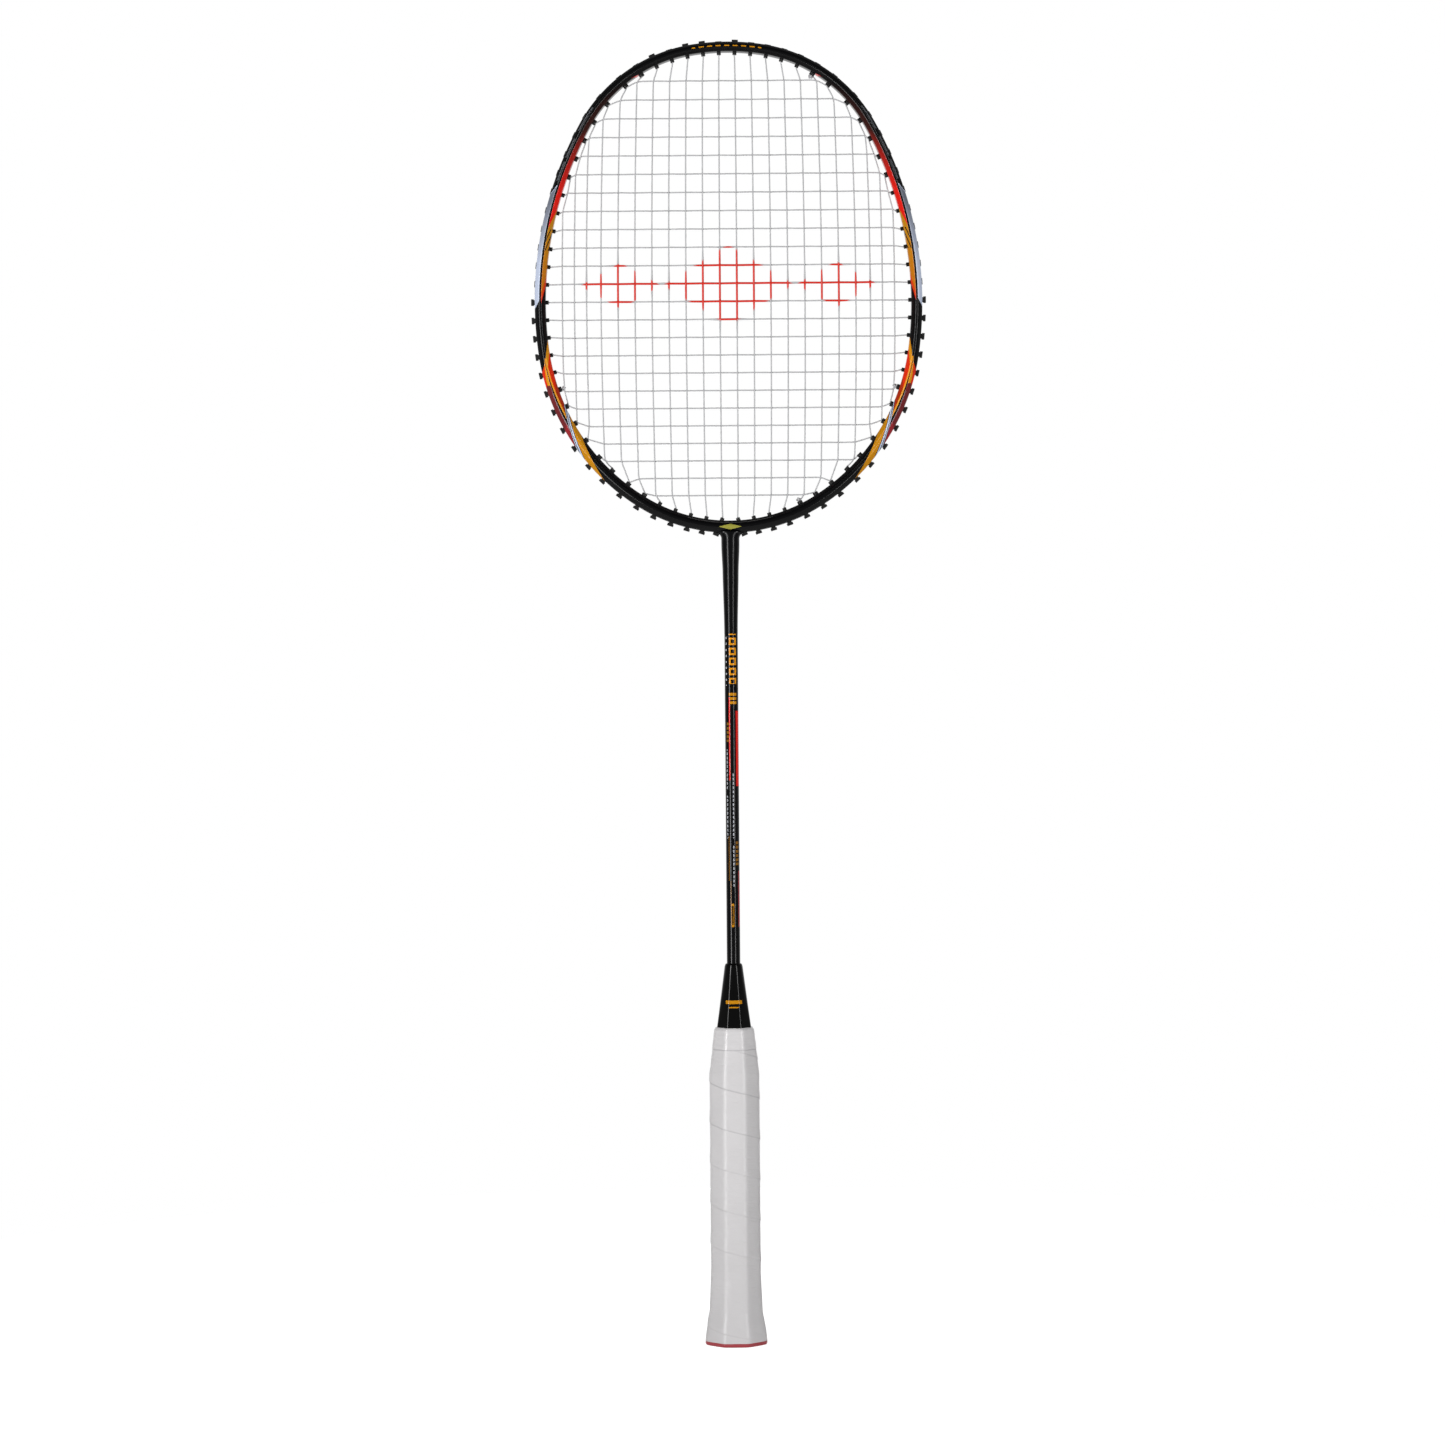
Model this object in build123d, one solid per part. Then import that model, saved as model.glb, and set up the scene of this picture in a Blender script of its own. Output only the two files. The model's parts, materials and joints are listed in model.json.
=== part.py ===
from build123d import *
import math
import os

# A badminton racket, upright: +Z runs from the butt to the crown of the head, +X across the string bed,
# +Y through it, with the front face towards -Y. The origin is the centre of the butt's end face. Millimetres.

# ---- overall sizes ----
TOTAL_LENGTH = 675.0          # butt face to the outside of the crown
HEAD_WIDTH = 201.0            # across the outside of the hoop at its widest
HEAD_LENGTH = 254.5           # outside of the crown to the outside of the heel
WIDEST_BELOW_CROWN = 135.0    # the hoop is widest above the middle, as an isometric head is

# ---- hoop ----
RIM_CROWN, RIM_SIDE, RIM_HEEL = 5.0, 5.7, 6.2    # radial widths of the rim
RIM_DEPTH = 10.0              # front to back
RIM_EDGE_RADIUS = 1.8         # rounding of the rim's long edges
CROWN_RADIUS, CROWN_TURN, SHOULDER_TURN = 120.0, 9.0, 52.0
HEEL_RADIUS, HEEL_TURN, HIP_TURN = 89.0, 32.0, 50.0
RIM_WALL = 1.0                # laminate thickness round the hollow
GROOVE_WIDTH = 2.6            # channel round the outside that the string loops lie in
GROOVE_DEPTH = 1.0

# ---- neck, joint and shaft ----
SHAFT_DIAMETER = 7.0
SHAFT_BORE = 4.4
NECK_START = 368.0            # the shaft's paint meets the hoop's moulding here
NECK_TOP_DIAMETER = 8.6
NECK_FLARE = 5.0              # radius of the blend from the neck into the hoop
NECK_DEPTH = 8.0              # the neck is thinner than the hoop, front to back, where it enters the heel
NECK_SIDE = 5.6               # the groove stops this far from the centre line, under the neck
SPIGOT_DIAMETER = 5.6         # turned-down top of the shaft, inside the neck
SPIGOT_LENGTH = 30.0
JOINT_REACH = 22.0            # how far each arm of the inner T joint goes round the hoop
JOINT_STEM = 26.0             # how far the T joint's stem goes down inside the spigot
SHAFT_IN_HANDLE = 72.0        # length of shaft glued into the handle core

# ---- handle ----
CONE_BASE, CONE_TOP = 164.0, 197.0               # heights of the cone cap's two ends
CONE_BASE_WIDTH, CONE_TOP_DIAMETER = 17.7, 9.0
CONE_WALL = 1.3
GRIP_WIDTH, GRIP_DEPTH = 26.0, 24.6              # across the grip's flats, side to side and front to back
BUTT_WIDTH, BUTT_DEPTH = 32.2, 30.4              # the flared end
GRIP_TOP_WIDTH = 20.3                            # the grip's narrow top edge
GRIP_TOP = 163.5
TAPER_START = 140.0           # the grip narrows from here up to its top edge
FLARE_HEIGHT = 26.0           # the butt's flare eases out to the straight grip over this height
FLARE_STEPS = 8               # flat lengths that the flare's S curve is made of
BEVEL_SHARE = 0.285           # each corner bevel's run, as a share of the width
GRIP_THICKNESS = 1.5
BACKING_THICKNESS = 0.2       # adhesive strip under the grip
FINISH_TAPE_HEIGHT = 10.5     # closing tape round the grip's top end
FINISH_TAPE_THICKNESS = 0.25
BUTT_CAP_THICKNESS = 2.0
BUTT_CAP_EDGE_RADIUS = 0.8
CAP_PLUG_WALL = 2.0
CORE_BORE, CORE_BORE_DEPTH = 13.0, 60.0          # lightening hole from the butt
CAP_PLUG_DEPTH = 8.0
NOSE_LENGTH = 12.0            # the core's nose inside the cone cap
NOSE_TIP_GAP = 1.0            # how much narrower than the cone's inside the nose ends
CONE_HOLLOW_SHARE = 0.7       # share of the cone's height that is hollow
STAPLE_WIDTH, STAPLE_LEG, STAPLE_WIRE = 9.0, 5.0, 0.6
STAPLE_HEIGHT = 9.0

# ---- stringing ----
STRING_DIAMETER = 0.7
MAINS_EACH_SIDE = 11
CROSSES = 24
MAIN_PITCH, MAIN_PITCH_CROWN, MAIN_PITCH_HEEL = 8.82, 8.35, 8.45
OUTER_STEPS = (7.5, 6.3, 6.3) # steps out to the last three mains each side
EVEN_MAINS = 8                # mains each side at the full pitch
FIRST_CROSS_BELOW_CROWN = 19.9
CROSS_PITCH, CROSS_PITCH_LOSS = 9.72, 0.033      # each gap downwards is a little smaller than the last
WEAVE_BEND, HOLE_BEND = 3.0, 0.75                # bend radii where strings cross and at the grommets
WEAVE_OFFSET = 0.39           # how far each string is pushed off the middle plane where it crosses another
PAIR_OFFSET = 0.42            # a main and a cross that share a grommet lie this far each side of its middle
CROSS_LEAD = 1.6              # shortest free length of a cross between its grommet and the outermost main
CLOSEST_MAINS = 3.2           # least distance between two mains where they close up at the shoulders
KNOT_STANDOFF = 2.2           # from a tie-off grommet's mouth to the end of the string in its knot
KNOT_GAP, KNOT_TURN_PITCH = 0.4, 0.8             # from the mouth to a knot's first turn, and on to its second

# ---- grommets ----
BARREL_DIAMETER, BARREL_BORE = 2.1, 1.2
WIDE_BARREL_DIAMETER, WIDE_BARREL_BORE = 2.8, 1.9
BARREL_PROUD = 1.5            # how far a barrel stands out of the rim's inner side
HEAD_LENGTH_ALONG = 3.2       # a grommet head's length round the rim
HEAD_NECK_ALONG = 2.3
HEAD_CHANNEL = 1.7            # slot in the head that the string loops lie in
LOW_HEAD, PROUD_HEAD, LIFTED_HEAD = 0.4, 1.9, 1.2
PROUD_BAR_SHARE = 0.7         # share of a proud head's rise that its cross-bar is thick

FIT = 0.05                    # clearance on each side of a fitted piece
OVERLAP = 0.1                 # how far two shapes that are fused run into each other
SPARE = 2.0                   # how far a cutting shape runs past what it cuts

os.makedirs("parts", exist_ok=True)

crown_z = TOTAL_LENGTH
heel_z = TOTAL_LENGTH - HEAD_LENGTH
widest_z = TOTAL_LENGTH - WIDEST_BELOW_CROWN


# ---- the hoop's outlines, each a chain of tangent arcs ----
def arc_chain(half_width, height, first_radius, first_turn, second_turn):
    """Three tangent arcs from a level start to an upright end, half_width across and height up.
    The first radius is given, and the other two follow from the two spans."""
    a = math.radians(first_turn)
    b = math.radians(first_turn + second_turn)
    m11, m12 = math.sin(b) - math.sin(a), 1 - math.sin(b)
    m21, m22 = math.cos(a) - math.cos(b), math.cos(b)
    r1 = half_width - first_radius * math.sin(a)
    r2 = height - first_radius * (1 - math.cos(a))
    det = m11 * m22 - m12 * m21
    second, third = (r1 * m22 - m12 * r2) / det, (m11 * r2 - m21 * r1) / det
    return [(first_radius, 0.0, first_turn), (second, first_turn, first_turn + second_turn),
            (third, first_turn + second_turn, 90.0)]


class Outline:
    """The hoop's outline at a share of the way from its outside (0) to its inside (1), moved inwards by inset.
    Its right half is six arcs (cx, cz, radius, from, to); the angles are the outward normal's, from +Z to +X."""

    def __init__(self, share, inset=0.0):
        crown, side, heel = RIM_CROWN * share, RIM_SIDE * share, RIM_HEEL * share
        half_width = HEAD_WIDTH / 2 - side
        up = arc_chain(half_width, WIDEST_BELOW_CROWN - crown, CROWN_RADIUS - crown, CROWN_TURN, SHOULDER_TURN)
        down = arc_chain(half_width, HEAD_LENGTH - WIDEST_BELOW_CROWN - heel, HEEL_RADIUS - heel, HEEL_TURN,
                         HIP_TURN)
        self.arcs = []
        x, z = 0.0, crown_z - crown
        for radius, start, end in up:
            s, c = math.sin(math.radians(start)), math.cos(math.radians(start))
            cx, cz = x - radius * s, z - radius * c
            self.arcs.append((cx, cz, radius - inset, start, end))
            x, z = cx + radius * math.sin(math.radians(end)), cz + radius * math.cos(math.radians(end))
        lower = []
        x, z = 0.0, heel_z + heel
        for radius, start, end in down:
            s, c = math.sin(math.radians(start)), math.cos(math.radians(start))
            cx, cz = x - radius * s, z + radius * c
            lower.append((cx, cz, radius - inset, 180 - end, 180 - start))
            x, z = cx + radius * math.sin(math.radians(end)), cz - radius * math.cos(math.radians(end))
        self.arcs += reversed(lower)

    def face(self):
        edges = []
        for cx, cz, radius, start, end in self.arcs:
            edges.append(CenterArc((cx, cz), radius, 90 - start, start - end))
            edges.append(CenterArc((-cx, cz), radius, 90 + start, end - start))
        return Plane.XZ * make_face(edges)

    def at_angle(self, angle):
        for cx, cz, radius, start, end in self.arcs:
            if start <= angle <= end:
                turn = math.radians(angle)
                return cx + radius * math.sin(turn), cz + radius * math.cos(turn)

    def angle_at(self, coordinate, value, lower=False):
        """The normal's angle where the right half reaches x or z = value; lower picks the heel's x."""
        low, high = (90.0, 180.0) if lower else (0.0, 90.0)
        if coordinate == "z":
            low, high = 0.0, 180.0
        index = 0 if coordinate == "x" else 1
        rising = self.at_angle(high)[index] > self.at_angle(low)[index]
        for _ in range(50):
            middle = (low + high) / 2
            if (self.at_angle(middle)[index] > value) == rising:
                high = middle
            else:
                low = middle
        return (low + high) / 2

    def distance_along(self, x, z, nx, nz):
        """How far the point (x, z) is from the outline along the direction (nx, nz)."""
        found = []
        for cx, cz, radius, start, end in self.arcs:
            dx, dz = x - cx, z - cz
            b = dx * nx + dz * nz
            under = b * b - (dx * dx + dz * dz - radius * radius)
            if under < 0:
                continue
            for root in (-b - math.sqrt(under), -b + math.sqrt(under)):
                turn = math.degrees(math.atan2(dx + root * nx, dz + root * nz))
                if start - 1 <= turn <= end + 1:
                    found.append(root)
        return min(found, key=abs)


outside, inside, midline = Outline(0), Outline(1), Outline(0.5)


def slab(face, thickness):
    return extrude(face, amount=thickness / 2, both=True)


def along_z(x, y, z, radius, length):
    """A round rod standing on (x, y, z)."""
    return Pos(x, y, z) * Cylinder(radius, length, align=(Align.CENTER, Align.CENTER, Align.MIN))


# ---- string positions ----
def cross_z(k):
    """Height of cross k, counted from 1 at the crown."""
    gaps = k - 1
    return crown_z - FIRST_CROSS_BELOW_CROWN - CROSS_PITCH * gaps + CROSS_PITCH_LOSS * gaps * (gaps - 1) / 2


def main_x(i, z):
    """Distance of main i, counted from 1 at the middle, from the centre line at height z.
    The mains spread evenly at the widest height and draw in a little towards the crown and the heel."""
    end_pitch, end_z = (MAIN_PITCH_CROWN, crown_z) if z > widest_z else (MAIN_PITCH_HEEL, heel_z)
    pitch = MAIN_PITCH - (MAIN_PITCH - end_pitch) * ((z - widest_z) / (end_z - widest_z)) ** 2
    even = pitch * (min(i, EVEN_MAINS) - 0.5)
    return even + sum(OUTER_STEPS[:max(i - EVEN_MAINS, 0)]) * pitch / MAIN_PITCH


# Holes are numbered from 1 beside the crown's middle, down each side, to 36 beside the neck.
CROWN_HOLES = 6               # holes 1 to 6 take mains 1 to 6
SIDE_CROSSES = 22             # holes 7 to 28 take crosses 1 to 22
HEEL_HOLES = 8                # holes 29 to 36 take mains 8 to 1
HOLES = CROWN_HOLES + SIDE_CROSSES + HEEL_HOLES
MAIN_TOP = {11: 12}                              # the outermost main starts a hole further down the side
MAIN_FOOT = {9: 27, 10: 26, 11: 25}              # the outer mains share a cross's hole low on the side
CROSS_HOLE = {23: 30, 24: 31}                    # the last two crosses share a main's hole at the heel
WIDE_HOLES = {*range(6, 13), *range(24, 32)}     # holes that two strings pass through or over
MAIN_TIE, CROSS_START, CROSS_END = 24, 6, 32     # holes that the strings' ends are tied off in
SPLAYED = {34: (0.3, 2.0), 35: (0.8, 9.0), 36: (1.5, 19.0)}    # shift and lean of the holes away from the neck
PROUD_FROM = 19               # from this hole down, the heads stand out of the groove
LIFTED = {(-1, 2), (-1, 3), (-1, 5), (1, 1)}     # crown heads that the string loops hold a little off the rim


def top_hole(i):
    return MAIN_TOP.get(i, i)


def foot_hole(i):
    """The hole at main i's lower end; the hole at its upper end is number i."""
    return MAIN_FOOT.get(i, HOLES + 1 - i)


def cross_hole(k):
    return CROSS_HOLE.get(k, CROWN_HOLES + k)


def hole_angle(hole):
    """The outline's normal angle at a hole, where its string's line meets the rim's mid-line."""
    if hole <= CROWN_HOLES:
        return midline.angle_at("x", main_x(hole, crown_z))
    if hole <= CROWN_HOLES + SIDE_CROSSES:
        return midline.angle_at("z", cross_z(hole - CROWN_HOLES))
    shift, _ = SPLAYED.get(hole, (0.0, 0.0))
    return midline.angle_at("x", main_x(HOLES + 1 - hole, heel_z) + shift, lower=True)


class Hole:
    """One grommet hole on the right (side 1) or left (side -1): its mid-line point, its outward axis and the
    distances along it to the rim's two faces. The axis is the outline's normal, but leans beside the neck."""

    def __init__(self, side, number):
        self.side, self.number = side, number
        angle = hole_angle(number)
        x, z = midline.at_angle(angle)
        _, lean = SPLAYED.get(number, (0.0, 0.0))
        nx, nz = math.sin(math.radians(angle - lean)), math.cos(math.radians(angle - lean))
        self.out = outside.distance_along(x, z, nx, nz)
        self.inn = -inside.distance_along(x, z, nx, nz)
        self.x, self.z, self.nx, self.nz = side * x, z, side * nx, nz
        self.wide = number in WIDE_HOLES or (side, number) == (1, CROSS_END)
        self.proud = number >= PROUD_FROM
        self.lifted = (side, number) in LIFTED

    def place(self):
        """Local +Z along the outward normal, local X round the rim, local Y through the racket."""
        return Location(Plane(origin=(self.x, 0, self.z), x_dir=(self.nz, 0, -self.nx), z_dir=(self.nx, 0, self.nz)))

    def point(self, along, y):
        return (self.x + self.nx * along, y, self.z + self.nz * along)

    def groove_point(self, y):
        return self.point(self.out - GROOVE_DEPTH / 2, y)

    def mouth_point(self, y):
        return self.point(-self.inn - BARREL_PROUD, y)

    def knot_point(self, y):
        return self.point(-self.inn - BARREL_PROUD - KNOT_STANDOFF, y)

    def string_y(self, sign):
        return sign * PAIR_OFFSET if self.wide else 0.0


holes = {(side, n): Hole(side, n) for side in (-1, 1) for n in range(1, HOLES + 1)}


def drill(hole):
    diameter = WIDE_BARREL_DIAMETER if hole.wide else BARREL_DIAMETER
    reach = hole.out + hole.inn + 3 * SPARE
    return hole.place() * Cylinder(diameter / 2 + FIT, reach)


drills = [drill(hole) for hole in holes.values()]


# ---- hoop with its neck ----
def make_neck_blank():
    """Round neck that widens from the shaft to the hoop and flares into it, as a profile turned about Z."""
    low, top = SHAFT_DIAMETER / 2, NECK_TOP_DIAMETER / 2
    joined_z = heel_z + SPARE
    flare_z = heel_z - NECK_FLARE + SPARE / 2
    with BuildPart() as neck:
        with BuildSketch(Plane.XZ):
            with BuildLine():
                Polyline((0, joined_z), (0, NECK_START), (low, NECK_START), (top, flare_z))
                TangentArc((top, flare_z), (top + NECK_FLARE, flare_z + NECK_FLARE), tangent=(0, 1))
                Polyline((top + NECK_FLARE, flare_z + NECK_FLARE), (top + NECK_FLARE, joined_z), (0, joined_z))
            make_face()
        revolve(axis=Axis.Z)
    return neck.part & Pos(0, 0, heel_z) * Box(HEAD_WIDTH, NECK_DEPTH, TOTAL_LENGTH)


def make_hollow(gap=0.0):
    """The space inside the rim's walls, less a gap all round."""
    outer = Outline(0, GROOVE_DEPTH + RIM_WALL + gap).face()
    inner = Outline(1, -RIM_WALL - gap).face()
    return slab(outer - inner, RIM_DEPTH - 2 * RIM_WALL - 2 * gap)


def make_groove():
    """The channel round the outside, less the stretch under the neck."""
    channel = slab(outside.face() - Outline(0, GROOVE_DEPTH).face(), GROOVE_WIDTH)
    return channel - Pos(0, 0, heel_z) * Box(2 * NECK_SIDE, RIM_DEPTH, 2 * RIM_HEEL)


def make_head_pocket(hole):
    """Room in the neck's flare for the head of the grommet beside it."""
    height = GROOVE_DEPTH + PROUD_HEAD + SPARE
    pocket = Box(HEAD_LENGTH_ALONG + 2 * FIT, GROOVE_WIDTH, height, align=(Align.CENTER, Align.CENTER, Align.MIN))
    return hole.place() * Pos(0, 0, hole.out - GROOVE_DEPTH) * pocket


def make_hoop():
    rim = slab(outside.face() - inside.face(), RIM_DEPTH)
    long_edges = [e for e in rim.edges() if abs(abs(e.center().Y) - RIM_DEPTH / 2) < 0.01]
    rim = fillet(long_edges, RIM_EDGE_RADIUS)
    rim += make_neck_blank()
    rim -= make_groove()
    rim -= [make_head_pocket(holes[side, HOLES]) for side in (-1, 1)]
    rim -= make_hollow()
    rim -= along_z(0, 0, NECK_START - 1, SPIGOT_DIAMETER / 2 + FIT, SPIGOT_LENGTH + 1 + FIT)
    rim -= along_z(0, 0, NECK_START, SHAFT_BORE / 2, heel_z + RIM_HEEL / 2 - NECK_START)
    return rim - drills


def make_t_joint():
    """The piece inside the heel that ties hoop to shaft: two arms round the hollow and a stem down the spigot."""
    arms = make_hollow(FIT) & Pos(0, 0, heel_z) * Box(2 * JOINT_REACH, RIM_DEPTH, 2 * JOINT_REACH)
    stem_foot = NECK_START + SPIGOT_LENGTH - JOINT_STEM
    stem = along_z(0, 0, stem_foot, SHAFT_BORE / 2 - FIT, heel_z + RIM_HEEL / 2 - stem_foot)
    return arms + stem - drills


def make_shaft():
    foot = CONE_BASE - SHAFT_IN_HANDLE
    tube = along_z(0, 0, foot, SHAFT_DIAMETER / 2, NECK_START - foot)
    tube += along_z(0, 0, NECK_START, SPIGOT_DIAMETER / 2, SPIGOT_LENGTH)
    return tube - along_z(0, 0, foot, SHAFT_BORE / 2, NECK_START + SPIGOT_LENGTH - foot)


# ---- handle ----
def octagon(width, depth, z):
    sketch = Rectangle(width, depth)
    return Pos(0, 0, z) * chamfer(sketch.vertices(), BEVEL_SHARE * width)


def handle_size(z):
    """Width and depth of the grip's outside at height z: an eased flare, a straight length, a taper."""
    flare = max(0.0, 1 - z / FLARE_HEIGHT)
    eased = flare * flare * (3 - 2 * flare)
    taper = max(0.0, (z - TAPER_START) / (GRIP_TOP - TAPER_START)) * (1 - GRIP_TOP_WIDTH / GRIP_WIDTH)
    width = GRIP_WIDTH * (1 - taper) + (BUTT_WIDTH - GRIP_WIDTH) * eased
    depth = GRIP_DEPTH * (1 - taper) + (BUTT_DEPTH - GRIP_DEPTH) * eased
    return width, depth


def handle_body(inset, low, high):
    """The handle's solid from low to high, with its surface moved in by inset."""
    steps = [FLARE_HEIGHT * step / FLARE_STEPS for step in range(FLARE_STEPS + 1)] + [TAPER_START]
    heights = [low, *[z for z in steps if low < z < high], high]
    sizes = [(z, *handle_size(z)) for z in heights]
    return loft([octagon(w - 2 * inset, d - 2 * inset, z) for z, w, d in sizes], ruled=True)


grip_inset = GRIP_THICKNESS
backing_inset = GRIP_THICKNESS + BACKING_THICKNESS
tape_foot = GRIP_TOP - FINISH_TAPE_HEIGHT


def make_staple():
    """A wire staple across the back of the core near the butt, its two legs driven into the wood."""
    surface = handle_size(STAPLE_HEIGHT + STAPLE_WIRE)[1] / 2 - backing_inset
    y = surface - STAPLE_WIRE / 2
    crown = Pos(0, y, STAPLE_HEIGHT) * Box(STAPLE_WIDTH, STAPLE_WIRE, STAPLE_WIRE)
    half = (STAPLE_WIDTH - STAPLE_WIRE) / 2
    for x in (-half, half):
        crown += Pos(x, y - STAPLE_LEG / 2, STAPLE_HEIGHT) * Box(STAPLE_WIRE, STAPLE_LEG, STAPLE_WIRE)
    return crown


def make_handle_core():
    core = handle_body(backing_inset, BUTT_CAP_THICKNESS, GRIP_TOP)
    nose_width = CONE_BASE_WIDTH - 2 * CONE_WALL - 2 * FIT
    nose_top = nose_width - NOSE_LENGTH * (CONE_BASE_WIDTH - CONE_TOP_DIAMETER) / (CONE_TOP - CONE_BASE)
    nose_tip = nose_top - NOSE_TIP_GAP
    core += loft([octagon(nose_width, nose_width, GRIP_TOP - OVERLAP),
                  octagon(nose_tip, nose_tip, CONE_BASE + NOSE_LENGTH)])
    foot = CONE_BASE - SHAFT_IN_HANDLE
    core -= along_z(0, 0, foot - SPARE, SHAFT_DIAMETER / 2 + FIT, CONE_TOP - foot)
    core -= along_z(0, 0, 0, CORE_BORE / 2, CORE_BORE_DEPTH)
    return core - make_staple()


def make_backing_tape():
    sleeve = handle_body(grip_inset, BUTT_CAP_THICKNESS, GRIP_TOP)
    return sleeve - handle_body(backing_inset, BUTT_CAP_THICKNESS, GRIP_TOP)


def make_grip():
    """The wrapped grip as one sleeve, stepped in at its top end for the closing tape."""
    sleeve = handle_body(0, BUTT_CAP_THICKNESS, GRIP_TOP)
    sleeve -= handle_body(grip_inset, BUTT_CAP_THICKNESS, GRIP_TOP)
    collar = handle_body(-SPARE, tape_foot, GRIP_TOP) - handle_body(FINISH_TAPE_THICKNESS, tape_foot, GRIP_TOP)
    return sleeve - collar


def make_finishing_tape():
    ring = handle_body(0, tape_foot, GRIP_TOP)
    return ring - handle_body(FINISH_TAPE_THICKNESS, tape_foot, GRIP_TOP)


def make_butt_cap():
    """Flat cap with the flared end's outline, rounded at its rim, and a plug that enters the core's bore."""
    cap = handle_body(0, 0, BUTT_CAP_THICKNESS)
    rim = [e for e in cap.edges() if abs(e.center().Z) < 0.01]
    cap = fillet(rim, BUTT_CAP_EDGE_RADIUS)
    plug = along_z(0, 0, BUTT_CAP_THICKNESS, CORE_BORE / 2 - FIT, CAP_PLUG_DEPTH)
    return cap + plug - along_z(0, 0, BUTT_CAP_THICKNESS, CORE_BORE / 2 - CAP_PLUG_WALL, CAP_PLUG_DEPTH + SPARE)


def make_cone_cap():
    """Hollow cone over the top of the handle: eight-sided at the grip, round at the shaft."""
    height = CONE_TOP - CONE_BASE
    cone = loft([octagon(CONE_BASE_WIDTH, CONE_BASE_WIDTH, CONE_BASE),
                 Pos(0, 0, CONE_TOP) * Circle(CONE_TOP_DIAMETER / 2)])
    inner_width = CONE_BASE_WIDTH - 2 * CONE_WALL
    roof = CONE_BASE + height * CONE_HOLLOW_SHARE
    inner_top = inner_width - (CONE_BASE_WIDTH - CONE_TOP_DIAMETER) * CONE_HOLLOW_SHARE
    cone -= loft([octagon(inner_width, inner_width, CONE_BASE), Pos(0, 0, roof) * Circle(inner_top / 2)])
    return cone - along_z(0, 0, CONE_BASE - SPARE, SHAFT_DIAMETER / 2 + FIT, height + 2 * SPARE)


# ---- grommets ----
def make_grommet(hole):
    """A nylon tube through the rim, with a slotted head in the groove that the string loops lie in."""
    width = WIDE_BARREL_DIAMETER if hole.wide else BARREL_DIAMETER
    bore = WIDE_BARREL_BORE if hole.wide else BARREL_BORE
    floor = hole.out - GROOVE_DEPTH
    foot = -hole.inn - BARREL_PROUD
    upright = (Align.CENTER, Align.CENTER, Align.MIN)
    body = Pos(0, 0, foot) * Cylinder(width / 2, floor - foot, align=upright)
    across = GROOVE_WIDTH - 2 * FIT
    rise = PROUD_HEAD if hole.proud else LIFTED_HEAD if hole.lifted else LOW_HEAD
    top = hole.out + rise
    body += Pos(0, 0, floor) * Box(HEAD_NECK_ALONG, across, top - floor, align=upright)
    bar = top - hole.out if not hole.proud else rise * PROUD_BAR_SHARE
    body += Pos(0, 0, top - bar) * Box(HEAD_LENGTH_ALONG, across, bar, align=upright)
    body -= Pos(0, 0, foot - SPARE) * Cylinder(bore / 2, floor - foot + 2 * SPARE, align=upright)
    channel = Box(HEAD_LENGTH_ALONG + SPARE, HEAD_CHANNEL, top - floor + SPARE, align=upright)
    body -= Pos(0, 0, floor + FIT) * channel
    return hole.place() * body


def grommet_family(hole):
    if hole.number in (CROSS_START, CROSS_END) and hole.side > 0 or hole.number == MAIN_TIE:
        return "tie_off_grommets"
    if hole.number <= CROWN_HOLES:
        return "crown_grommets"
    if hole.number < PROUD_FROM:
        return "shoulder_grommets" if hole.wide else "upper_side_grommets"
    if hole.number > CROWN_HOLES + SIDE_CROSSES + 3:
        return "throat_grommets"
    return "hip_grommets" if hole.wide else "lower_side_grommets"


# ---- strings ----
def weave(number, k):
    """+1 where main number lies behind cross k, -1 where it lies in front."""
    return 1 if (number + k) % 2 else -1


def crosses_met(i):
    """The crosses that main i passes, leaving out those that end in a hole beside or beyond its own."""
    first = max(1, top_hole(i) - CROWN_HOLES + 1)
    return [k for k in range(first, CROSSES + 1) if cross_hole(k) < foot_hole(i)]


def crossing_x(i, k):
    """Distance from the centre line at which main i meets cross k. The outermost main there stays clear of the
    cross's own grommet, and each main inside it stays clear of the next."""
    mouth = holes[1, cross_hole(k)].mouth_point(0)[0]
    mains_outside = sum(k in crosses_met(j) for j in range(i + 1, MAINS_EACH_SIDE + 1))
    return min(main_x(i, cross_z(k)), mouth - CROSS_LEAD - CLOSEST_MAINS * mains_outside)


def tie_off(hole, y):
    """A string's end that comes back in through a tie-off hole to its knot."""
    return [(hole.groove_point(y), HOLE_BEND), (hole.knot_point(y), 0)]


def run_through(first_hole, second_hole, y_sign, crossings):
    """One main or cross from groove to groove: in through a hole, over and under, out through the other."""
    first_y, second_y = first_hole.string_y(y_sign), second_hole.string_y(y_sign)
    entry = [(first_hole.groove_point(first_y), HOLE_BEND), (first_hole.mouth_point(first_y), HOLE_BEND)]
    leaving = [(second_hole.mouth_point(second_y), HOLE_BEND), (second_hole.groove_point(second_y), HOLE_BEND)]
    return entry + [(point, WEAVE_BEND) for point in crossings] + leaving


def main_run(side, i):
    number = i if side > 0 else 1 - i
    crossings = [(side * crossing_x(i, k), WEAVE_OFFSET * weave(number, k), cross_z(k))
                 for k in crosses_met(i)]
    run = run_through(holes[side, top_hole(i)], holes[side, foot_hole(i)], 1, crossings)
    return run if i % 2 else run[::-1]


def cross_run(k):
    z = cross_z(k)
    crossings = []
    for number in range(1 - MAINS_EACH_SIDE, MAINS_EACH_SIDE + 1):
        side, i = (1, number) if number > 0 else (-1, 1 - number)
        if k in crosses_met(i):
            crossings.append((side * crossing_x(i, k), -WEAVE_OFFSET * weave(number, k), z))
    run = run_through(holes[-1, cross_hole(k)], holes[1, cross_hole(k)], -1, crossings)
    return run[::-1] if k % 2 else run


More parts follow.
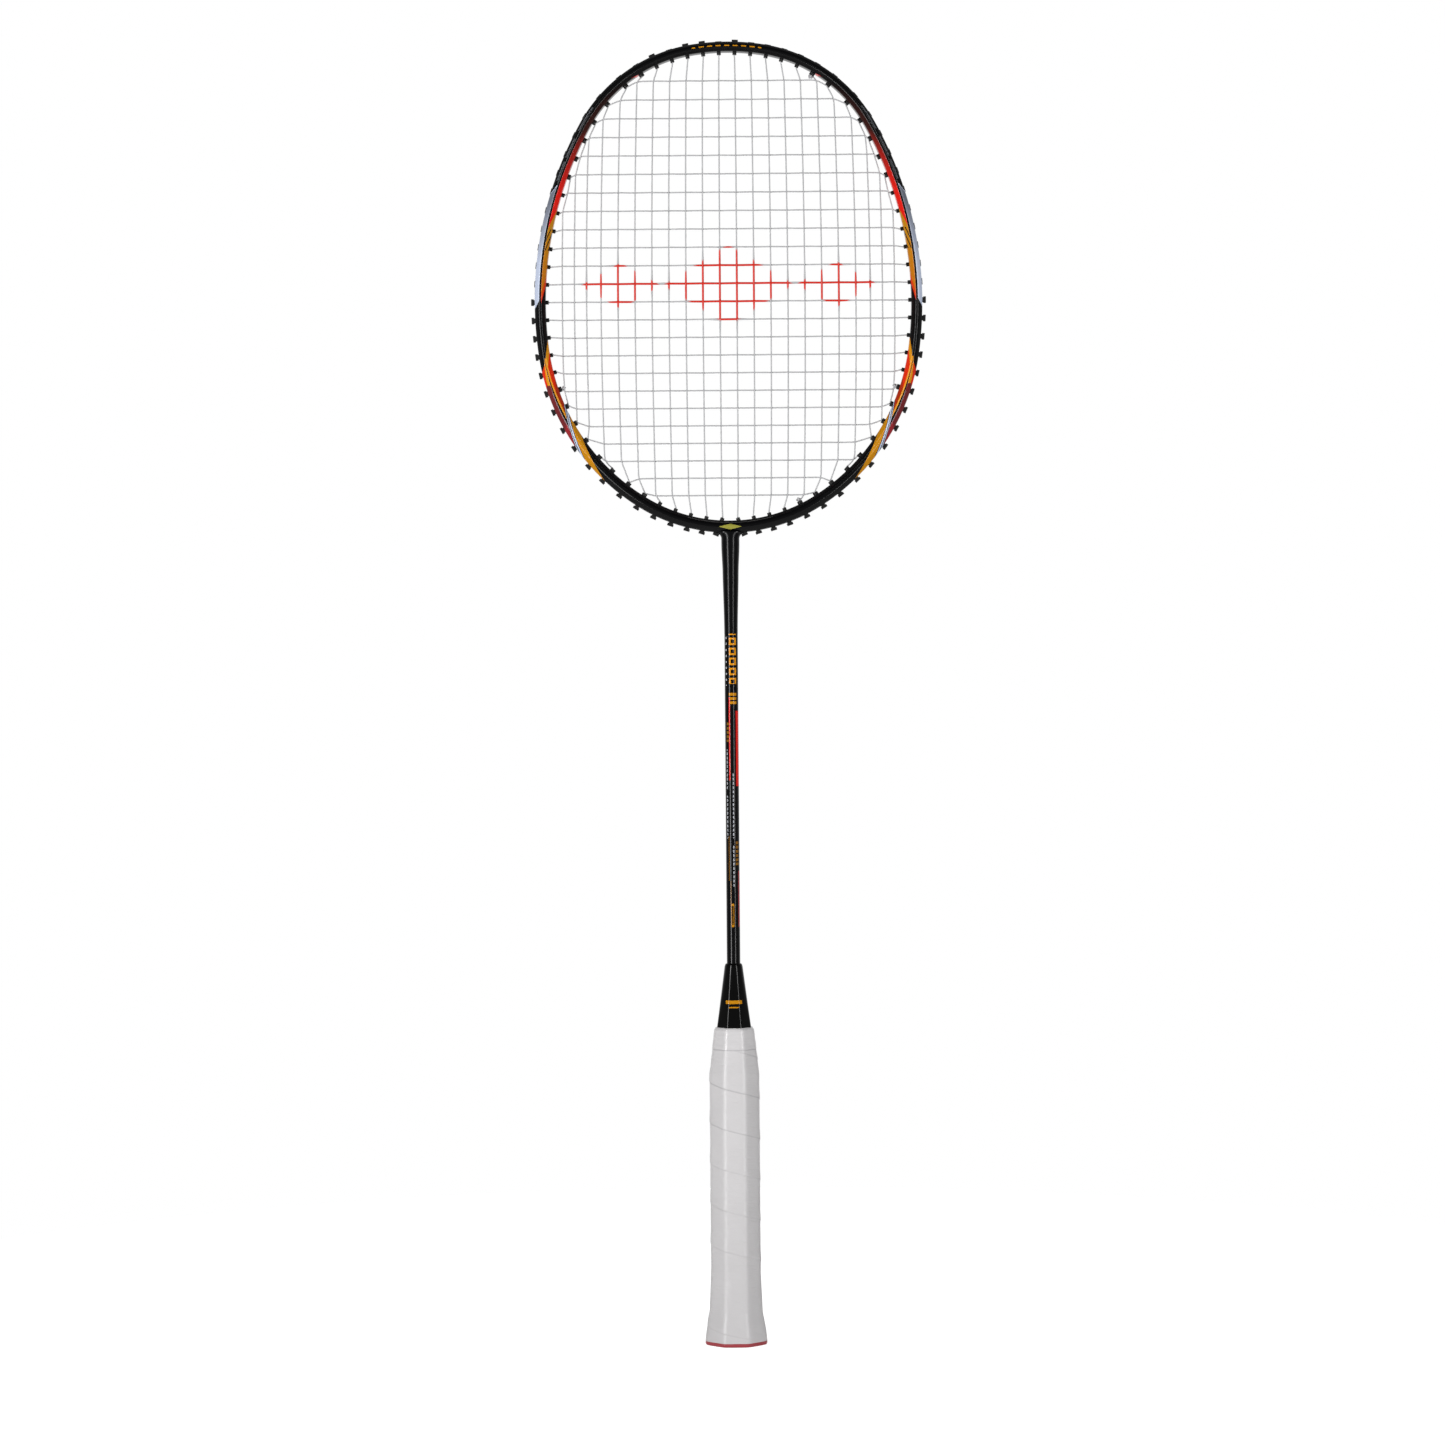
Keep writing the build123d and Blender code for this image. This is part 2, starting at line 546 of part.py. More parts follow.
def main_string_route():
    """From the left tie-off, main by main to the middle, over the crown and out to the right tie-off."""
    halves = {}
    for side in (-1, 1):
        half = []
        for i in range(1, MAINS_EACH_SIDE + 1):
            if top_hole(i) != i:
                passed = holes[side, top_hole(i) - 1]
                half.append((passed.groove_point(passed.string_y(1)), WEAVE_BEND))
            half += main_run(side, i)
        halves[side] = half + tie_off(holes[side, MAIN_TIE], holes[side, MAIN_TIE].string_y(1))
    return halves[-1][::-1] + halves[1]


def cross_string_route():
    """From the knot beside the crown, cross by cross down the head, to the knot beside the neck."""
    route = tie_off(holes[1, CROSS_START], holes[1, CROSS_START].string_y(-1))[::-1]
    for k in range(1, CROSSES + 1):
        if k == CROSSES - 1:
            skipped = holes[1, cross_hole(k) - 1]
            route.append((skipped.groove_point(skipped.string_y(-1)), WEAVE_BEND))
        route += cross_run(k)
    return route + tie_off(holes[1, CROSS_END], holes[1, CROSS_END].string_y(-1))


def rounded_path(route):
    """Straight runs between the route's points, joined by tangent arcs of the radius given at each corner."""
    corners = [Vector(*point) for point, _ in route]
    edges, start = [], corners[0]
    for before, corner, after, (_, bend) in zip(corners, corners[1:], corners[2:], route[1:-1]):
        back, ahead = (before - corner).normalized(), (after - corner).normalized()
        half_turn = math.radians(180 - back.get_angle(ahead)) / 2
        reach = bend * math.tan(half_turn)
        middle = corner + (back + ahead).normalized() * (bend / math.cos(half_turn) - bend)
        edges.append(Edge.make_line(start, corner + back * reach))
        edges.append(Edge.make_three_point_arc(corner + back * reach, middle, corner + ahead * reach))
        start = corner + ahead * reach
    edges.append(Edge.make_line(start, corners[-1]))
    return Wire(edges)


def make_string(route):
    path = rounded_path(route)
    first, second = Vector(*route[0][0]), Vector(*route[1][0])
    section = Plane(origin=first, z_dir=second - first) * Circle(STRING_DIAMETER / 2)
    return sweep(section, path=path)


def make_knots(places):
    """Knots against the inner side of the rim: each is two turns of string round the end that they hold."""
    knots = []
    for hole, y in places:
        for turn in (0, 1):
            centre = hole.point(-hole.inn - BARREL_PROUD - KNOT_GAP - KNOT_TURN_PITCH * turn, y)
            plane = Plane(origin=centre, z_dir=(hole.nx, 0, hole.nz))
            knots.append(plane * Torus(STRING_DIAMETER, STRING_DIAMETER / 2 - 0.01))
    return knots


def write(node, shapes):
    solids = [solid for shape in shapes for solid in shape.solids()]
    whole = solids[0] if len(solids) == 1 else Compound(children=solids)
    export_step(whole, f"parts/{node}.step")


core = make_handle_core()
staple = make_staple()
nodes = {
    "hoop": [make_hoop()],
    "t_joint": [make_t_joint()],
    "shaft": [make_shaft()],
    "cone_cap": [make_cone_cap()],
    "handle_core": [core],
    "butt_cap": [make_butt_cap()],
    "grip_staple": [staple],
    "grip_backing_tape": [make_backing_tape() - staple],
    "grip_wrap": [make_grip()],
    "grip_finishing_tape": [make_finishing_tape()],
    "main_string": [make_string(main_string_route())],
    "cross_string": [make_string(cross_string_route())],
    "main_string_knots": make_knots([(holes[side, MAIN_TIE], PAIR_OFFSET) for side in (-1, 1)]),
    "cross_string_knots": make_knots([(holes[1, n], -PAIR_OFFSET) for n in (CROSS_START, CROSS_END)]),
}
for hole in holes.values():
    nodes.setdefault(grommet_family(hole), []).append(make_grommet(hole))

for node, shapes in nodes.items():
    write(node, shapes)
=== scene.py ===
# %% [markdown]
# # A badminton racket, built round its CAD frame
#
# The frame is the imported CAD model: it fixes every size and place. This lesson rebuilds the pieces that show
# (hoop, shaft, cone cap, grip, strings) as smooth surfaces worked out with numpy, gives every piece a
# procedural finish, and sets up a plain pale studio round them. Lengths are millimetres until a mesh is made.

# %% Load the frame
import json
import bpy
import numpy as np
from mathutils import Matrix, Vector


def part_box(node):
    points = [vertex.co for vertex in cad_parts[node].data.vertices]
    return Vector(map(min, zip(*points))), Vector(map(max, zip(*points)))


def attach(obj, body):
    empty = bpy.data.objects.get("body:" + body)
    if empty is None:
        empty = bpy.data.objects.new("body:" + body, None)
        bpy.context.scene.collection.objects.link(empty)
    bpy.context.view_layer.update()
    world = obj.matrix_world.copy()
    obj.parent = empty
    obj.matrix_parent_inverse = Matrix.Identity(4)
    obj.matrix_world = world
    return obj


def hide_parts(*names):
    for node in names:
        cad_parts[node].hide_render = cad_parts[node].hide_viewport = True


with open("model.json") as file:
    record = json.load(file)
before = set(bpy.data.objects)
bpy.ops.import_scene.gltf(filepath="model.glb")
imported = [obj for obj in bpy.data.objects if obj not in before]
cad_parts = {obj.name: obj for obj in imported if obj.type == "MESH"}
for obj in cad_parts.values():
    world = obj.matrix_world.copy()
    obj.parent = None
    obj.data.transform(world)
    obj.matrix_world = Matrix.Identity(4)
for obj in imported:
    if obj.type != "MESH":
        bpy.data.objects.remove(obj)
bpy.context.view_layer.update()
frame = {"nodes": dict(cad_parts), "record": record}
nodes = frame["nodes"]
MM = 1000.0                   # millimetres in a metre

# %% [markdown]
# ## Places from the frame
#
# Everything is placed from the boxes of the CAD nodes and from the record's mounts, so that the looks stay in
# step with the CAD. A few sizes that a box can't tell, such as the widths of the rim, are named here.

# %% Places that the boxes give
def box_mm(node):
    """A CAD node's lowest and highest corner, in millimetres."""
    low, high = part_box(node)
    return np.array(low) * MM, np.array(high) * MM


hoop_low, hoop_high = box_mm("hoop")
mounts = {mount["name"]: mount for mount in frame["record"]["mounts"]}
CROWN_Z = hoop_high[2]                                   # outside of the crown
HEEL_Z = mounts["head_rest"]["pos_m"][2] * MM            # outside of the heel, beside the neck
NECK_Z = hoop_low[2]                                     # where the neck starts on the shaft
HALF_WIDTH = hoop_high[0]
HALF_DEPTH = hoop_high[1]
WIDEST_Z = CROWN_Z - 135.0
CONE_LOW, CONE_HIGH = box_mm("cone_cap")
GRIP_LOW, GRIP_HIGH = box_mm("grip_wrap")
print(f"crown {CROWN_Z:.1f}, heel {HEEL_Z:.1f}, neck {NECK_Z:.1f}, half width {HALF_WIDTH:.1f}")

# %% [markdown]
# ## Tools for surfaces
#
# A mesh could be modelled by hand or from primitives. Here each surface is a grid: rows along the piece and
# columns round it, computed as whole arrays. One function turns such grids into a closed mesh whose faces
# point outwards, and one rounds the corners of any chain of points, for profiles and for strings alike.

# %% Grids, meshes and rounded corners
def unit(vectors):
    """Each vector divided by its length."""
    return vectors / np.linalg.norm(vectors, axis=-1, keepdims=True)


def grid_faces(rows, columns, ring=False):
    """Quads between neighbouring rows and columns, counted row by row; columns always close up, and with ring
    the last row joins the first."""
    i, j = np.meshgrid(np.arange(rows if ring else rows - 1), np.arange(columns), indexing="ij")
    up, along = (i + 1) % rows, (j + 1) % columns
    quads = np.stack([i * columns + j, i * columns + along, up * columns + along, up * columns + j], -1)
    return quads.reshape(-1, 4)


def shell(grid, ring=False):
    """(points, faces) of one closed surface: the grid's quads, and a cap over each end unless it is a ring.
    Its volume is a sixth of the sum of p0 . (p1 x p2) over its triangles, and its faces turn over if that is
    negative."""
    rows, columns = grid.shape[:2]
    points = grid.reshape(-1, 3)
    quads = grid_faces(rows, columns, ring)
    p0, p1, p2, p3 = (points[quads[:, corner]] for corner in range(4))
    volume = (p0 * (np.cross(p1, p2) + np.cross(p2, p3))).sum() / 6
    caps = [] if ring else [list(range(columns))[::-1], list(range((rows - 1) * columns, rows * columns))]
    for cap in caps:
        a, b, c = points[cap[0]], points[cap[1:-1]], points[cap[2:]]
        volume += (np.cross(b, c) @ a).sum() / 6
    faces = quads.tolist() + caps
    return points, [face[::-1] for face in faces] if volume < 0 else faces


def make_piece(name, shells, material, slot, replaced=(), **attributes):
    """One object made of closed shells, in metres, with a number per point for each named attribute."""
    counts = np.cumsum([0] + [len(points) for points, _ in shells])
    points = np.vstack([points for points, _ in shells]) / MM
    faces = [[int(start) + v for v in face] for start, (_, quads) in zip(counts, shells) for face in quads]
    mesh = bpy.data.meshes.new(name)
    mesh.from_pydata(points.tolist(), [], faces)
    for label, values in attributes.items():
        attribute = mesh.attributes.new(label, "FLOAT", "POINT")
        attribute.data.foreach_set("value", np.asarray(values, np.float32).ravel())
    mesh.materials.append(material)
    mesh.shade_smooth()
    mesh.set_sharp_from_angle(angle=np.radians(50))
    piece = bpy.data.objects.new(name, mesh)
    bpy.context.scene.collection.objects.link(piece)
    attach(piece, "root")
    if replaced:
        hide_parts(*replaced)
    print(f"{name}: {len(faces)} faces in {len(shells)} shells")
    return piece


def round_corners(points, bends, samples, closed=False):
    """Each corner C of a chain gives way to an arc between A and B, the points bend x tan(half turn) from it
    on its two sides. With w = cos(half turn), the arc is ((1-t)^2 A + 2t(1-t) w C + t^2 B) over the sum of
    the three weights. An arc takes up less than half of either side."""
    if closed:
        points = np.vstack([points[-1:], points, points[:1]])
    back, ahead = points[:-2] - points[1:-1], points[2:] - points[1:-1]
    room = 0.49 * np.minimum(np.linalg.norm(back, axis=1), np.linalg.norm(ahead, axis=1))
    back, ahead = unit(back), unit(ahead)
    half_turn = (np.pi - np.arccos(np.clip((back * ahead).sum(1), -1, 1))) / 2
    reach = np.minimum(bends * np.tan(np.minimum(half_turn, 1.5)), room)[:, None]
    corner = points[1:-1][:, None]
    a, b = corner + (reach * back)[:, None], corner + (reach * ahead)[:, None]
    t = np.linspace(0, 1, samples)[None, :, None]
    w = np.cos(half_turn)[:, None, None]
    at_a, at_corner, at_b = (1 - t) ** 2, 2 * t * (1 - t) * w, t ** 2
    arcs = (at_a * a + at_corner * corner + at_b * b) / (at_a + at_corner + at_b)
    arcs = arcs.reshape(-1, points.shape[1])
    return arcs if closed else np.vstack([points[:1], arcs, points[-1:]])


def tube(path, radius, sides):
    """A round tube: each ring is its path point + radius x (cos a . side + sin a . up), where side is square
    to the path and to Y, and up is square to both."""
    tangent = unit(np.gradient(path, axis=0))
    side = unit(np.cross([0.0, 1.0, 0.0], tangent))
    up = np.cross(tangent, side)
    a = np.linspace(0, 2 * np.pi, sides, endpoint=False)[None, :, None]
    return path[:, None] + radius * (np.cos(a) * side[:, None] + np.sin(a) * up[:, None])


def turned(profile, columns):
    """A profile of (radius, height) points carried round Z: (r cos a, r sin a, z)."""
    a = np.linspace(0, 2 * np.pi, columns, endpoint=False)
    radius, height = profile[:, :1], profile[:, 1:]
    return np.stack([radius * np.cos(a), radius * np.sin(a), height + 0 * a], -1)


def smooth_step(value):
    """0 below 0, 1 above 1, and 3v^2 - 2v^3 between."""
    v = np.clip(value, 0, 1)
    return v * v * (3 - 2 * v)


# %% [markdown]
# ## Tools for finishes
#
# Colours are written as the sRGB hex values that a painter would mix to, and one function turns them to the
# linear values that Blender computes with. One small function adds a node. Patterns are laid out in real
# millimetres, read from the piece's own place in the racket's frame.

# %% Colours and nodes
def linear(hex_colour):
    """sRGB hex to linear RGBA: c/12.92 up to 0.04045, and ((c + 0.055) / 1.055)^2.4 above."""
    c = np.array([int(hex_colour[i:i + 2], 16) for i in (1, 3, 5)]) / 255
    return (*np.where(c <= 0.04045, c / 12.92, ((c + 0.055) / 1.055) ** 2.4).tolist(), 1.0)


def add(tree, kind, inputs=None, **settings):
    """Adds one node, sets its properties, and fills each input with a value or a link."""
    node = tree.nodes.new(kind)
    for setting, value in settings.items():
        setattr(node, setting, value)
    for socket, value in (inputs or {}).items():
        if isinstance(value, bpy.types.NodeSocket):
            tree.links.new(value, node.inputs[socket])
        else:
            node.inputs[socket].default_value = value
    return node


def new_material(name, **sockets):
    """A Principled material with uniform values on the shader's own sockets: it, its tree and its shader."""
    material = bpy.data.materials.new(name)
    material.use_nodes = True
    tree = material.node_tree
    shader = tree.nodes["Principled BSDF"]
    for socket, value in sockets.items():
        shader.inputs[socket.replace("_", " ")].default_value = value
    return material, tree, shader


def millimetres(tree):
    """The shaded point's place in the racket's frame, in millimetres: a vector, then X, Y and Z."""
    place = add(tree, "ShaderNodeTexCoord").outputs["Object"]
    scaled = add(tree, "ShaderNodeVectorMath", {0: place, "Scale": MM}, operation="SCALE").outputs[0]
    return (scaled, *add(tree, "ShaderNodeSeparateXYZ", {0: scaled}).outputs)


def paint_over(tree, below, colour, *masks):
    """A coat of colour over what is below, where every mask is 1."""
    cover = masks[0]
    for mask in masks[1:]:
        cover = add(tree, "ShaderNodeMath", {0: cover, 1: mask}, operation="MULTIPLY").outputs[0]
    mix = add(tree, "ShaderNodeMix", {0: cover, 6: below, 7: colour}, data_type="RGBA")
    return mix.outputs[2]


def between(tree, value, low, high):
    """1 where the value lies from low to high, and 0 elsewhere."""
    return add(tree, "ShaderNodeMath", {0: value, 1: (low + high) / 2, 2: (high - low) / 2},
               operation="COMPARE").outputs[0]


def dashes(tree, value, half_pitch, half_length):
    """1 in dashes that repeat along a value, one centred on 0: the value is folded into 0 to half a pitch and
    compared with half a dash."""
    folded = add(tree, "ShaderNodeMath", {0: value, 1: half_pitch}, operation="PINGPONG").outputs[0]
    return add(tree, "ShaderNodeMath", {0: folded, 1: half_length}, operation="LESS_THAN").outputs[0]


def distance_from(tree, value, middle):
    """|value - middle|."""
    apart = add(tree, "ShaderNodeMath", {0: value, 1: middle}, operation="SUBTRACT").outputs[0]
    return add(tree, "ShaderNodeMath", {0: apart}, operation="ABSOLUTE").outputs[0]


def lozenge(tree, wide, high, half_width, half_height):
    """wide / half width + high / half height, which is under 1 inside a lozenge."""
    part = add(tree, "ShaderNodeMath", {0: wide, 1: half_width}, operation="DIVIDE").outputs[0]
    return add(tree, "ShaderNodeMath", {0: high, 1: 1 / half_height, 2: part},
               operation="MULTIPLY_ADD").outputs[0]


def surface_relief(tree, shader, height, depth_mm, strength=1.0):
    """Bump from a height of 0 to 1 that stands depth_mm proud."""
    bump = add(tree, "ShaderNodeBump", {"Height": height, "Distance": depth_mm / MM, "Strength": strength})
    tree.links.new(bump.outputs[0], shader.inputs["Normal"])


# %% [markdown]
# ## The hoop's outline
#
# A racket's head is bent from one tube: a wide arc over the crown, a tighter one at each shoulder, a long
# flat one down each side, and the same again, tighter, to the heel. Three tangent arcs make each quarter, so
# the outline is exact and smooth without a drawn curve.

# %% Arcs of the rim
RIM_CROWN, RIM_SIDE, RIM_HEEL = 5.0, 5.7, 6.2            # radial widths of the rim
CROWN_RADIUS, CROWN_TURNS = 120.0, (9, 52)               # first arc's radius; turns of the first two, degrees
HEEL_RADIUS, HEEL_TURNS = 89.0, (32, 50)


def arc_chain(half_width, height, first_radius, first_turn, second_turn):
    """Three tangent arcs from level to upright, half_width across and height up: the first radius is given,
    and two linear equations, one for each span, give the other two."""
    a, b = np.radians(first_turn), np.radians(first_turn + second_turn)
    spans = np.array([[np.sin(b) - np.sin(a), 1 - np.sin(b)], [np.cos(a) - np.cos(b), np.cos(b)]])
    left = [half_width - first_radius * np.sin(a), height - first_radius * (1 - np.cos(a))]
    second, third = np.linalg.solve(spans, left)
    return [(first_radius, 0, a), (second, a, b), (third, b, np.pi / 2)]


def quarter(chain, start_z, direction):
    """Arcs as rows (centre x, centre z, radius, from, to): a centre is the last arc's end less its radius."""
    rows, x, z = [], 0.0, start_z
    for radius, start, end in chain:
        cx, cz = x - radius * np.sin(start), z - direction * radius * np.cos(start)
        rows.append((cx, cz, radius, start, end))
        x, z = cx + radius * np.sin(end), cz + direction * radius * np.cos(end)
    return rows


def outline(share, angle):
    """Points (x, z) of the hoop at a share of the way from its outside (0) to its inside (1), by the angle of
    the outward normal from +Z, in degrees round to 360: centre + radius x (sin, cos) of that angle."""
    crown, side, heel = RIM_CROWN * share, RIM_SIDE * share, RIM_HEEL * share
    half = HALF_WIDTH - side
    upper = quarter(arc_chain(half, CROWN_Z - WIDEST_Z - crown, CROWN_RADIUS - crown, *CROWN_TURNS),
                    CROWN_Z - crown, 1)
    lower = quarter(arc_chain(half, WIDEST_Z - HEEL_Z - heel, HEEL_RADIUS - heel, *HEEL_TURNS),
                    HEEL_Z + heel, -1)
    below = [(cx, cz, r, np.pi - end, np.pi - start) for cx, cz, r, start, end in lower[::-1]]
    arcs = np.array(upper + below)
    turn = np.radians(np.asarray(angle, float))
    folded = np.where(turn > np.pi, 2 * np.pi - turn, turn)
    row = arcs[np.clip(np.searchsorted(arcs[:, 4], folded), 0, len(arcs) - 1)]
    x = row[..., 0] + row[..., 2] * np.sin(folded)
    z = row[..., 1] + row[..., 2] * np.cos(folded)
    return np.stack([np.where(turn > np.pi, -x, x), z], -1)


print("the outline's widest point is", outline(0, [90.0]).round(2).tolist())

# %% [markdown]
# ## Paint on the hoop
#
# The hoop is moulded carbon fibre, sprayed with gloss black, masked, sprayed with colour and lacquered. The
# masking follows the rim's facets: an outer band, an inner band and a black line between them, and long
# slanted ends where one colour gives way to the next. So the paint reads two numbers at each point, how far
# across the rim it is (an attribute, from -1 inside to 1 outside) and its height, and both sides match.

# %% Lacquered carbon
PAINT = {
    "black": "#050506", "carbon": "#0E0D0E", "silver": "#B9C2D6", "gold": "#B4790F", "amber": "#CC8614",
    "orange": "#BE520C", "scarlet": "#D01A10", "vermilion": "#D22C0C", "rust": "#A02A0C", "maroon": "#6A2326",
    "red": "#8E262C", "brown": "#3A1712", "pale": "#A9ACB2", "grey": "#74777D", "shade": "#3A3B42",
    "bronze": "#7A5216", "olive": "#8A8638"}


def height_bands(tree, height, low, high, bands):
    """Colour by height: bands are (bottom, colour) pairs in rising order between low and high."""
    share = add(tree, "ShaderNodeMapRange", {0: height, 1: low, 2: high, 3: 0.0, 4: 1.0}).outputs[0]
    ramp = add(tree, "ShaderNodeValToRGB", {0: share})
    ramp.color_ramp.interpolation = "CONSTANT"
    for bottom, colour in bands:
        stop = ramp.color_ramp.elements.new(max(0.0, (bottom - low) / (high - low)))
        stop.color = linear(PAINT[colour])
    ramp.color_ramp.elements.remove(ramp.color_ramp.elements[0])
    ramp.color_ramp.elements.remove(ramp.color_ramp.elements[-1])
    return ramp.outputs[0]


def slanted(tree, height, across, lean):
    """Height plus lean x across: its bands end on a slant that falls from the rim's inside to its outside."""
    return add(tree, "ShaderNodeMath", {0: across, 1: lean, 2: height}, operation="MULTIPLY_ADD").outputs[0]


def masked_bands(tree, z, across, outer, inner):
    """The two bands over black. The inner one fades to brown and black towards the crown, is more orange low
    down, and the outer one's silver is darkened upwards with painted shade, where the rim turns to face up."""
    gentle, steep = slanted(tree, z, across, 5.0), slanted(tree, z, across, 12.0)
    outer_paint = height_bands(tree, gentle, 400, 700, [
        (400, "black"), (465, "red"), (478, "maroon"), (500, "vermilion"), (508, "black"), (541, "silver"),
        (601, "black")])
    inner_paint = height_bands(tree, steep, 400, 700, [
        (400, "black"), (467, "amber"), (476, "rust"), (489, "vermilion"), (503, "amber"), (508, "black"),
        (537, "scarlet"), (541, "gold"), (575, "scarlet"), (646, "black")])
    colour = paint_over(tree, linear(PAINT["black"]), outer_paint, outer)
    colour = paint_over(tree, colour, inner_paint, inner)
    for paint, low, high in (("brown", 594.0, 626.0), ("black", 620.0, 650.0)):
        fade = add(tree, "ShaderNodeMapRange", {0: gentle, 1: low, 2: high}).outputs[0]
        colour = paint_over(tree, colour, linear(PAINT[paint]), fade, inner, between(tree, gentle, low, 652))
    warm = add(tree, "ShaderNodeMapRange", {0: z, 1: 575.0, 2: 545.0, 4: 0.55}).outputs[0]
    colour = paint_over(tree, colour, linear(PAINT["orange"]), warm, inner, between(tree, steep, 538, 575))
    # Painted shade: the outer band's silver is mixed towards the shade grey from z 560 to 592, darker upwards.
    dim = add(tree, "ShaderNodeMapRange", {0: z, 1: 560.0, 2: 592.0, 4: 0.75}).outputs[0]
    return paint_over(tree, colour, linear(PAINT["shade"]), dim, outer, between(tree, gentle, 541, 601))


def pinstripes(tree, colour, z, across, inner):
    """Amber stripes that cross the hips, a carbon hatch where gold meets scarlet, a swept tail of gold and
    silver at the foot of both bands, and rows of grey ticks."""
    falling, steep = slanted(tree, z, across, 23.0), slanted(tree, z, across, 12.0)
    colour = paint_over(tree, colour, linear(PAINT["amber"]), between(tree, across, 0.16, 0.62),
                        between(tree, falling, 480, 514), between(tree, z, 497, 513))
    # The inner stripe moves this far across the rim for each millimetre up.
    drift = -0.008
    lane = slanted(tree, across, z, drift)
    colour = paint_over(tree, colour, linear(PAINT["amber"]), between(tree, z, 478, 511),
                        between(tree, lane, -0.42 + 488 * drift, -0.13 + 488 * drift))
    colour = paint_over(tree, colour, linear(PAINT["carbon"]), dashes(tree, steep, 3.2, 1.0), inner,
                        between(tree, z, 567, 578))
    tail = height_bands(tree, steep, 400, 700, [
        (400, "black"), (459, "gold"), (468, "amber"), (470, "carbon"), (471, "silver"), (473, "carbon"),
        (474, "silver"), (476, "black")])
    colour = paint_over(tree, colour, tail, between(tree, steep, 400, 477))
    tick = dashes(tree, steep, 1.0, 0.45)
    for low, high, inside, outside in ((603, 613, 0.3, 0.58), (615, 625, 0.3, 0.58), (629, 641, 0.3, 0.58),
                                       (470, 493, 0.12, 0.3)):
        colour = paint_over(tree, colour, linear(PAINT["grey"]), tick, between(tree, across, inside, outside),
                            between(tree, z, low, high))
    return colour


def throat_and_crown_marks(tree, colour, x, z, across):
    """A slim lozenge over the neck, and a row of gold dashes along the middle of the crown."""
    wide, high = distance_from(tree, x, 0.0), distance_from(tree, z, HEEL_Z + 2.9)
    accent = between(tree, lozenge(tree, wide, high, 6.0, 1.5), -1, 1)
    colour = paint_over(tree, colour, linear(PAINT["olive"]), accent)
    row = between(tree, across, -0.12, 0.12)
    return paint_over(tree, colour, linear(PAINT["gold"]), dashes(tree, x, 2.2, 1.3), row,
                      between(tree, x, -18, 18), between(tree, z, 660, 700))


def make_lacquered_carbon():
    """Clear lacquer over paint: a smooth gloss that is a little wavy, as sprayed lacquer dries."""
    material, tree, shader = new_material("lacquered_carbon", Roughness=0.2, Specular_IOR_Level=0.18)
    place, x, _, z = millimetres(tree)
    across = add(tree, "ShaderNodeAttribute", attribute_name="across").outputs["Fac"]
    outer, inner = between(tree, across, 0.14, 2.0), between(tree, across, -2.0, -0.22)
    colour = masked_bands(tree, z, across, outer, inner)
    colour = pinstripes(tree, colour, z, across, inner)
    colour = throat_and_crown_marks(tree, colour, x, z, across)
    tree.links.new(colour, shader.inputs["Base Color"])
    ripple = add(tree, "ShaderNodeTexNoise", {"Vector": place, "Scale": 0.12, "Detail": 1.0}).outputs["Fac"]
    surface_relief(tree, shader, ripple, 0.03)
    return material


lacquered_carbon = make_lacquered_carbon()
print("paint colours:", ", ".join(PAINT))

# %% [markdown]
# ## The hoop
#
# The rim's section has a flat crest at the front and the back, a sloping facet on each side of it, and a
# channel round the outside where the string loops lie. The section is carried round the outline, and the
# neck, a round tube that flares into the heel, is a second shell that sinks into it.

# %% Rim and neck
half_rim = RIM_SIDE / 2
NECK_RADIUS, NECK_FLARE = 3.53, 3.2                      # where the neck meets the shaft, and at the heel
section = np.array([
    (half_rim, 1.3), (half_rim - 1.0, 1.3), (half_rim - 1.0, -1.3), (half_rim, -1.3), (half_rim, -2.6),
    (0.8, -HALF_DEPTH), (-0.8, -HALF_DEPTH), (-half_rim, -2.7), (-half_rim, 2.7), (-0.8, HALF_DEPTH),
    (0.8, HALF_DEPTH), (half_rim, 2.6)])
section_bends = np.array([0.25, 0.15, 0.15, 0.25, 0.9, 1.7, 1.7, 1.3, 1.3, 1.7, 1.7, 0.9])


def rim_shell():
    """Section points (r, y) carried round: inside + (outside - inside)(1 + r) / 2, and y front to back."""
    rounded = round_corners(section, section_bends, 4, closed=True)
    r, y = rounded[:, 0] / half_rim, rounded[:, 1]
    angle = np.linspace(0, 360, 900, endpoint=False)
    outer, inner = outline(0, angle)[:, None], outline(1, angle)[:, None]
    ring = inner + (outer - inner) * (1 + r)[None, :, None] / 2
    grid = np.stack([ring[..., 0], np.broadcast_to(y, ring.shape[:2]), ring[..., 1]], -1)
    return shell(grid, ring=True), np.broadcast_to(r, ring.shape[:2])


def neck_shell():
    """Ovals (a cos t, b sin t) from the shaft up: a grows in two eased steps, and at the heel by the quarter
    circle R - sqrt(R^2 - h^2) of the flare; b grows by 1 in one eased step."""
    z = np.concatenate([np.linspace(NECK_Z, HEEL_Z - 5, 44), np.linspace(HEEL_Z - 4.8, HEEL_Z + 0.4, 36)])
    rise = np.clip(z - (HEEL_Z - NECK_FLARE), 0, NECK_FLARE * 0.99)
    wide = NECK_RADIUS + 0.7 * smooth_step((z - NECK_Z) / 38) + 0.5 * smooth_step((z - 400) / 15)
    wide += NECK_FLARE - np.sqrt(NECK_FLARE ** 2 - rise ** 2)
    deep = NECK_RADIUS + 1.0 * smooth_step((z - NECK_Z) / (HEEL_Z - NECK_Z))
    t = np.linspace(0, 2 * np.pi, 64, endpoint=False)
    grid = np.stack([wide[:, None] * np.cos(t), deep[:, None] * np.sin(t), z[:, None] + 0 * t], -1)
    return shell(grid)


(rim, rim_across), neck = rim_shell(), neck_shell()
across_all = np.concatenate([rim_across.ravel(), np.zeros(len(neck[0]))])
hoop = make_piece("hoop_shell", [rim, neck], lacquered_carbon, "painted_composite", ["hoop"],
                  across=across_all)

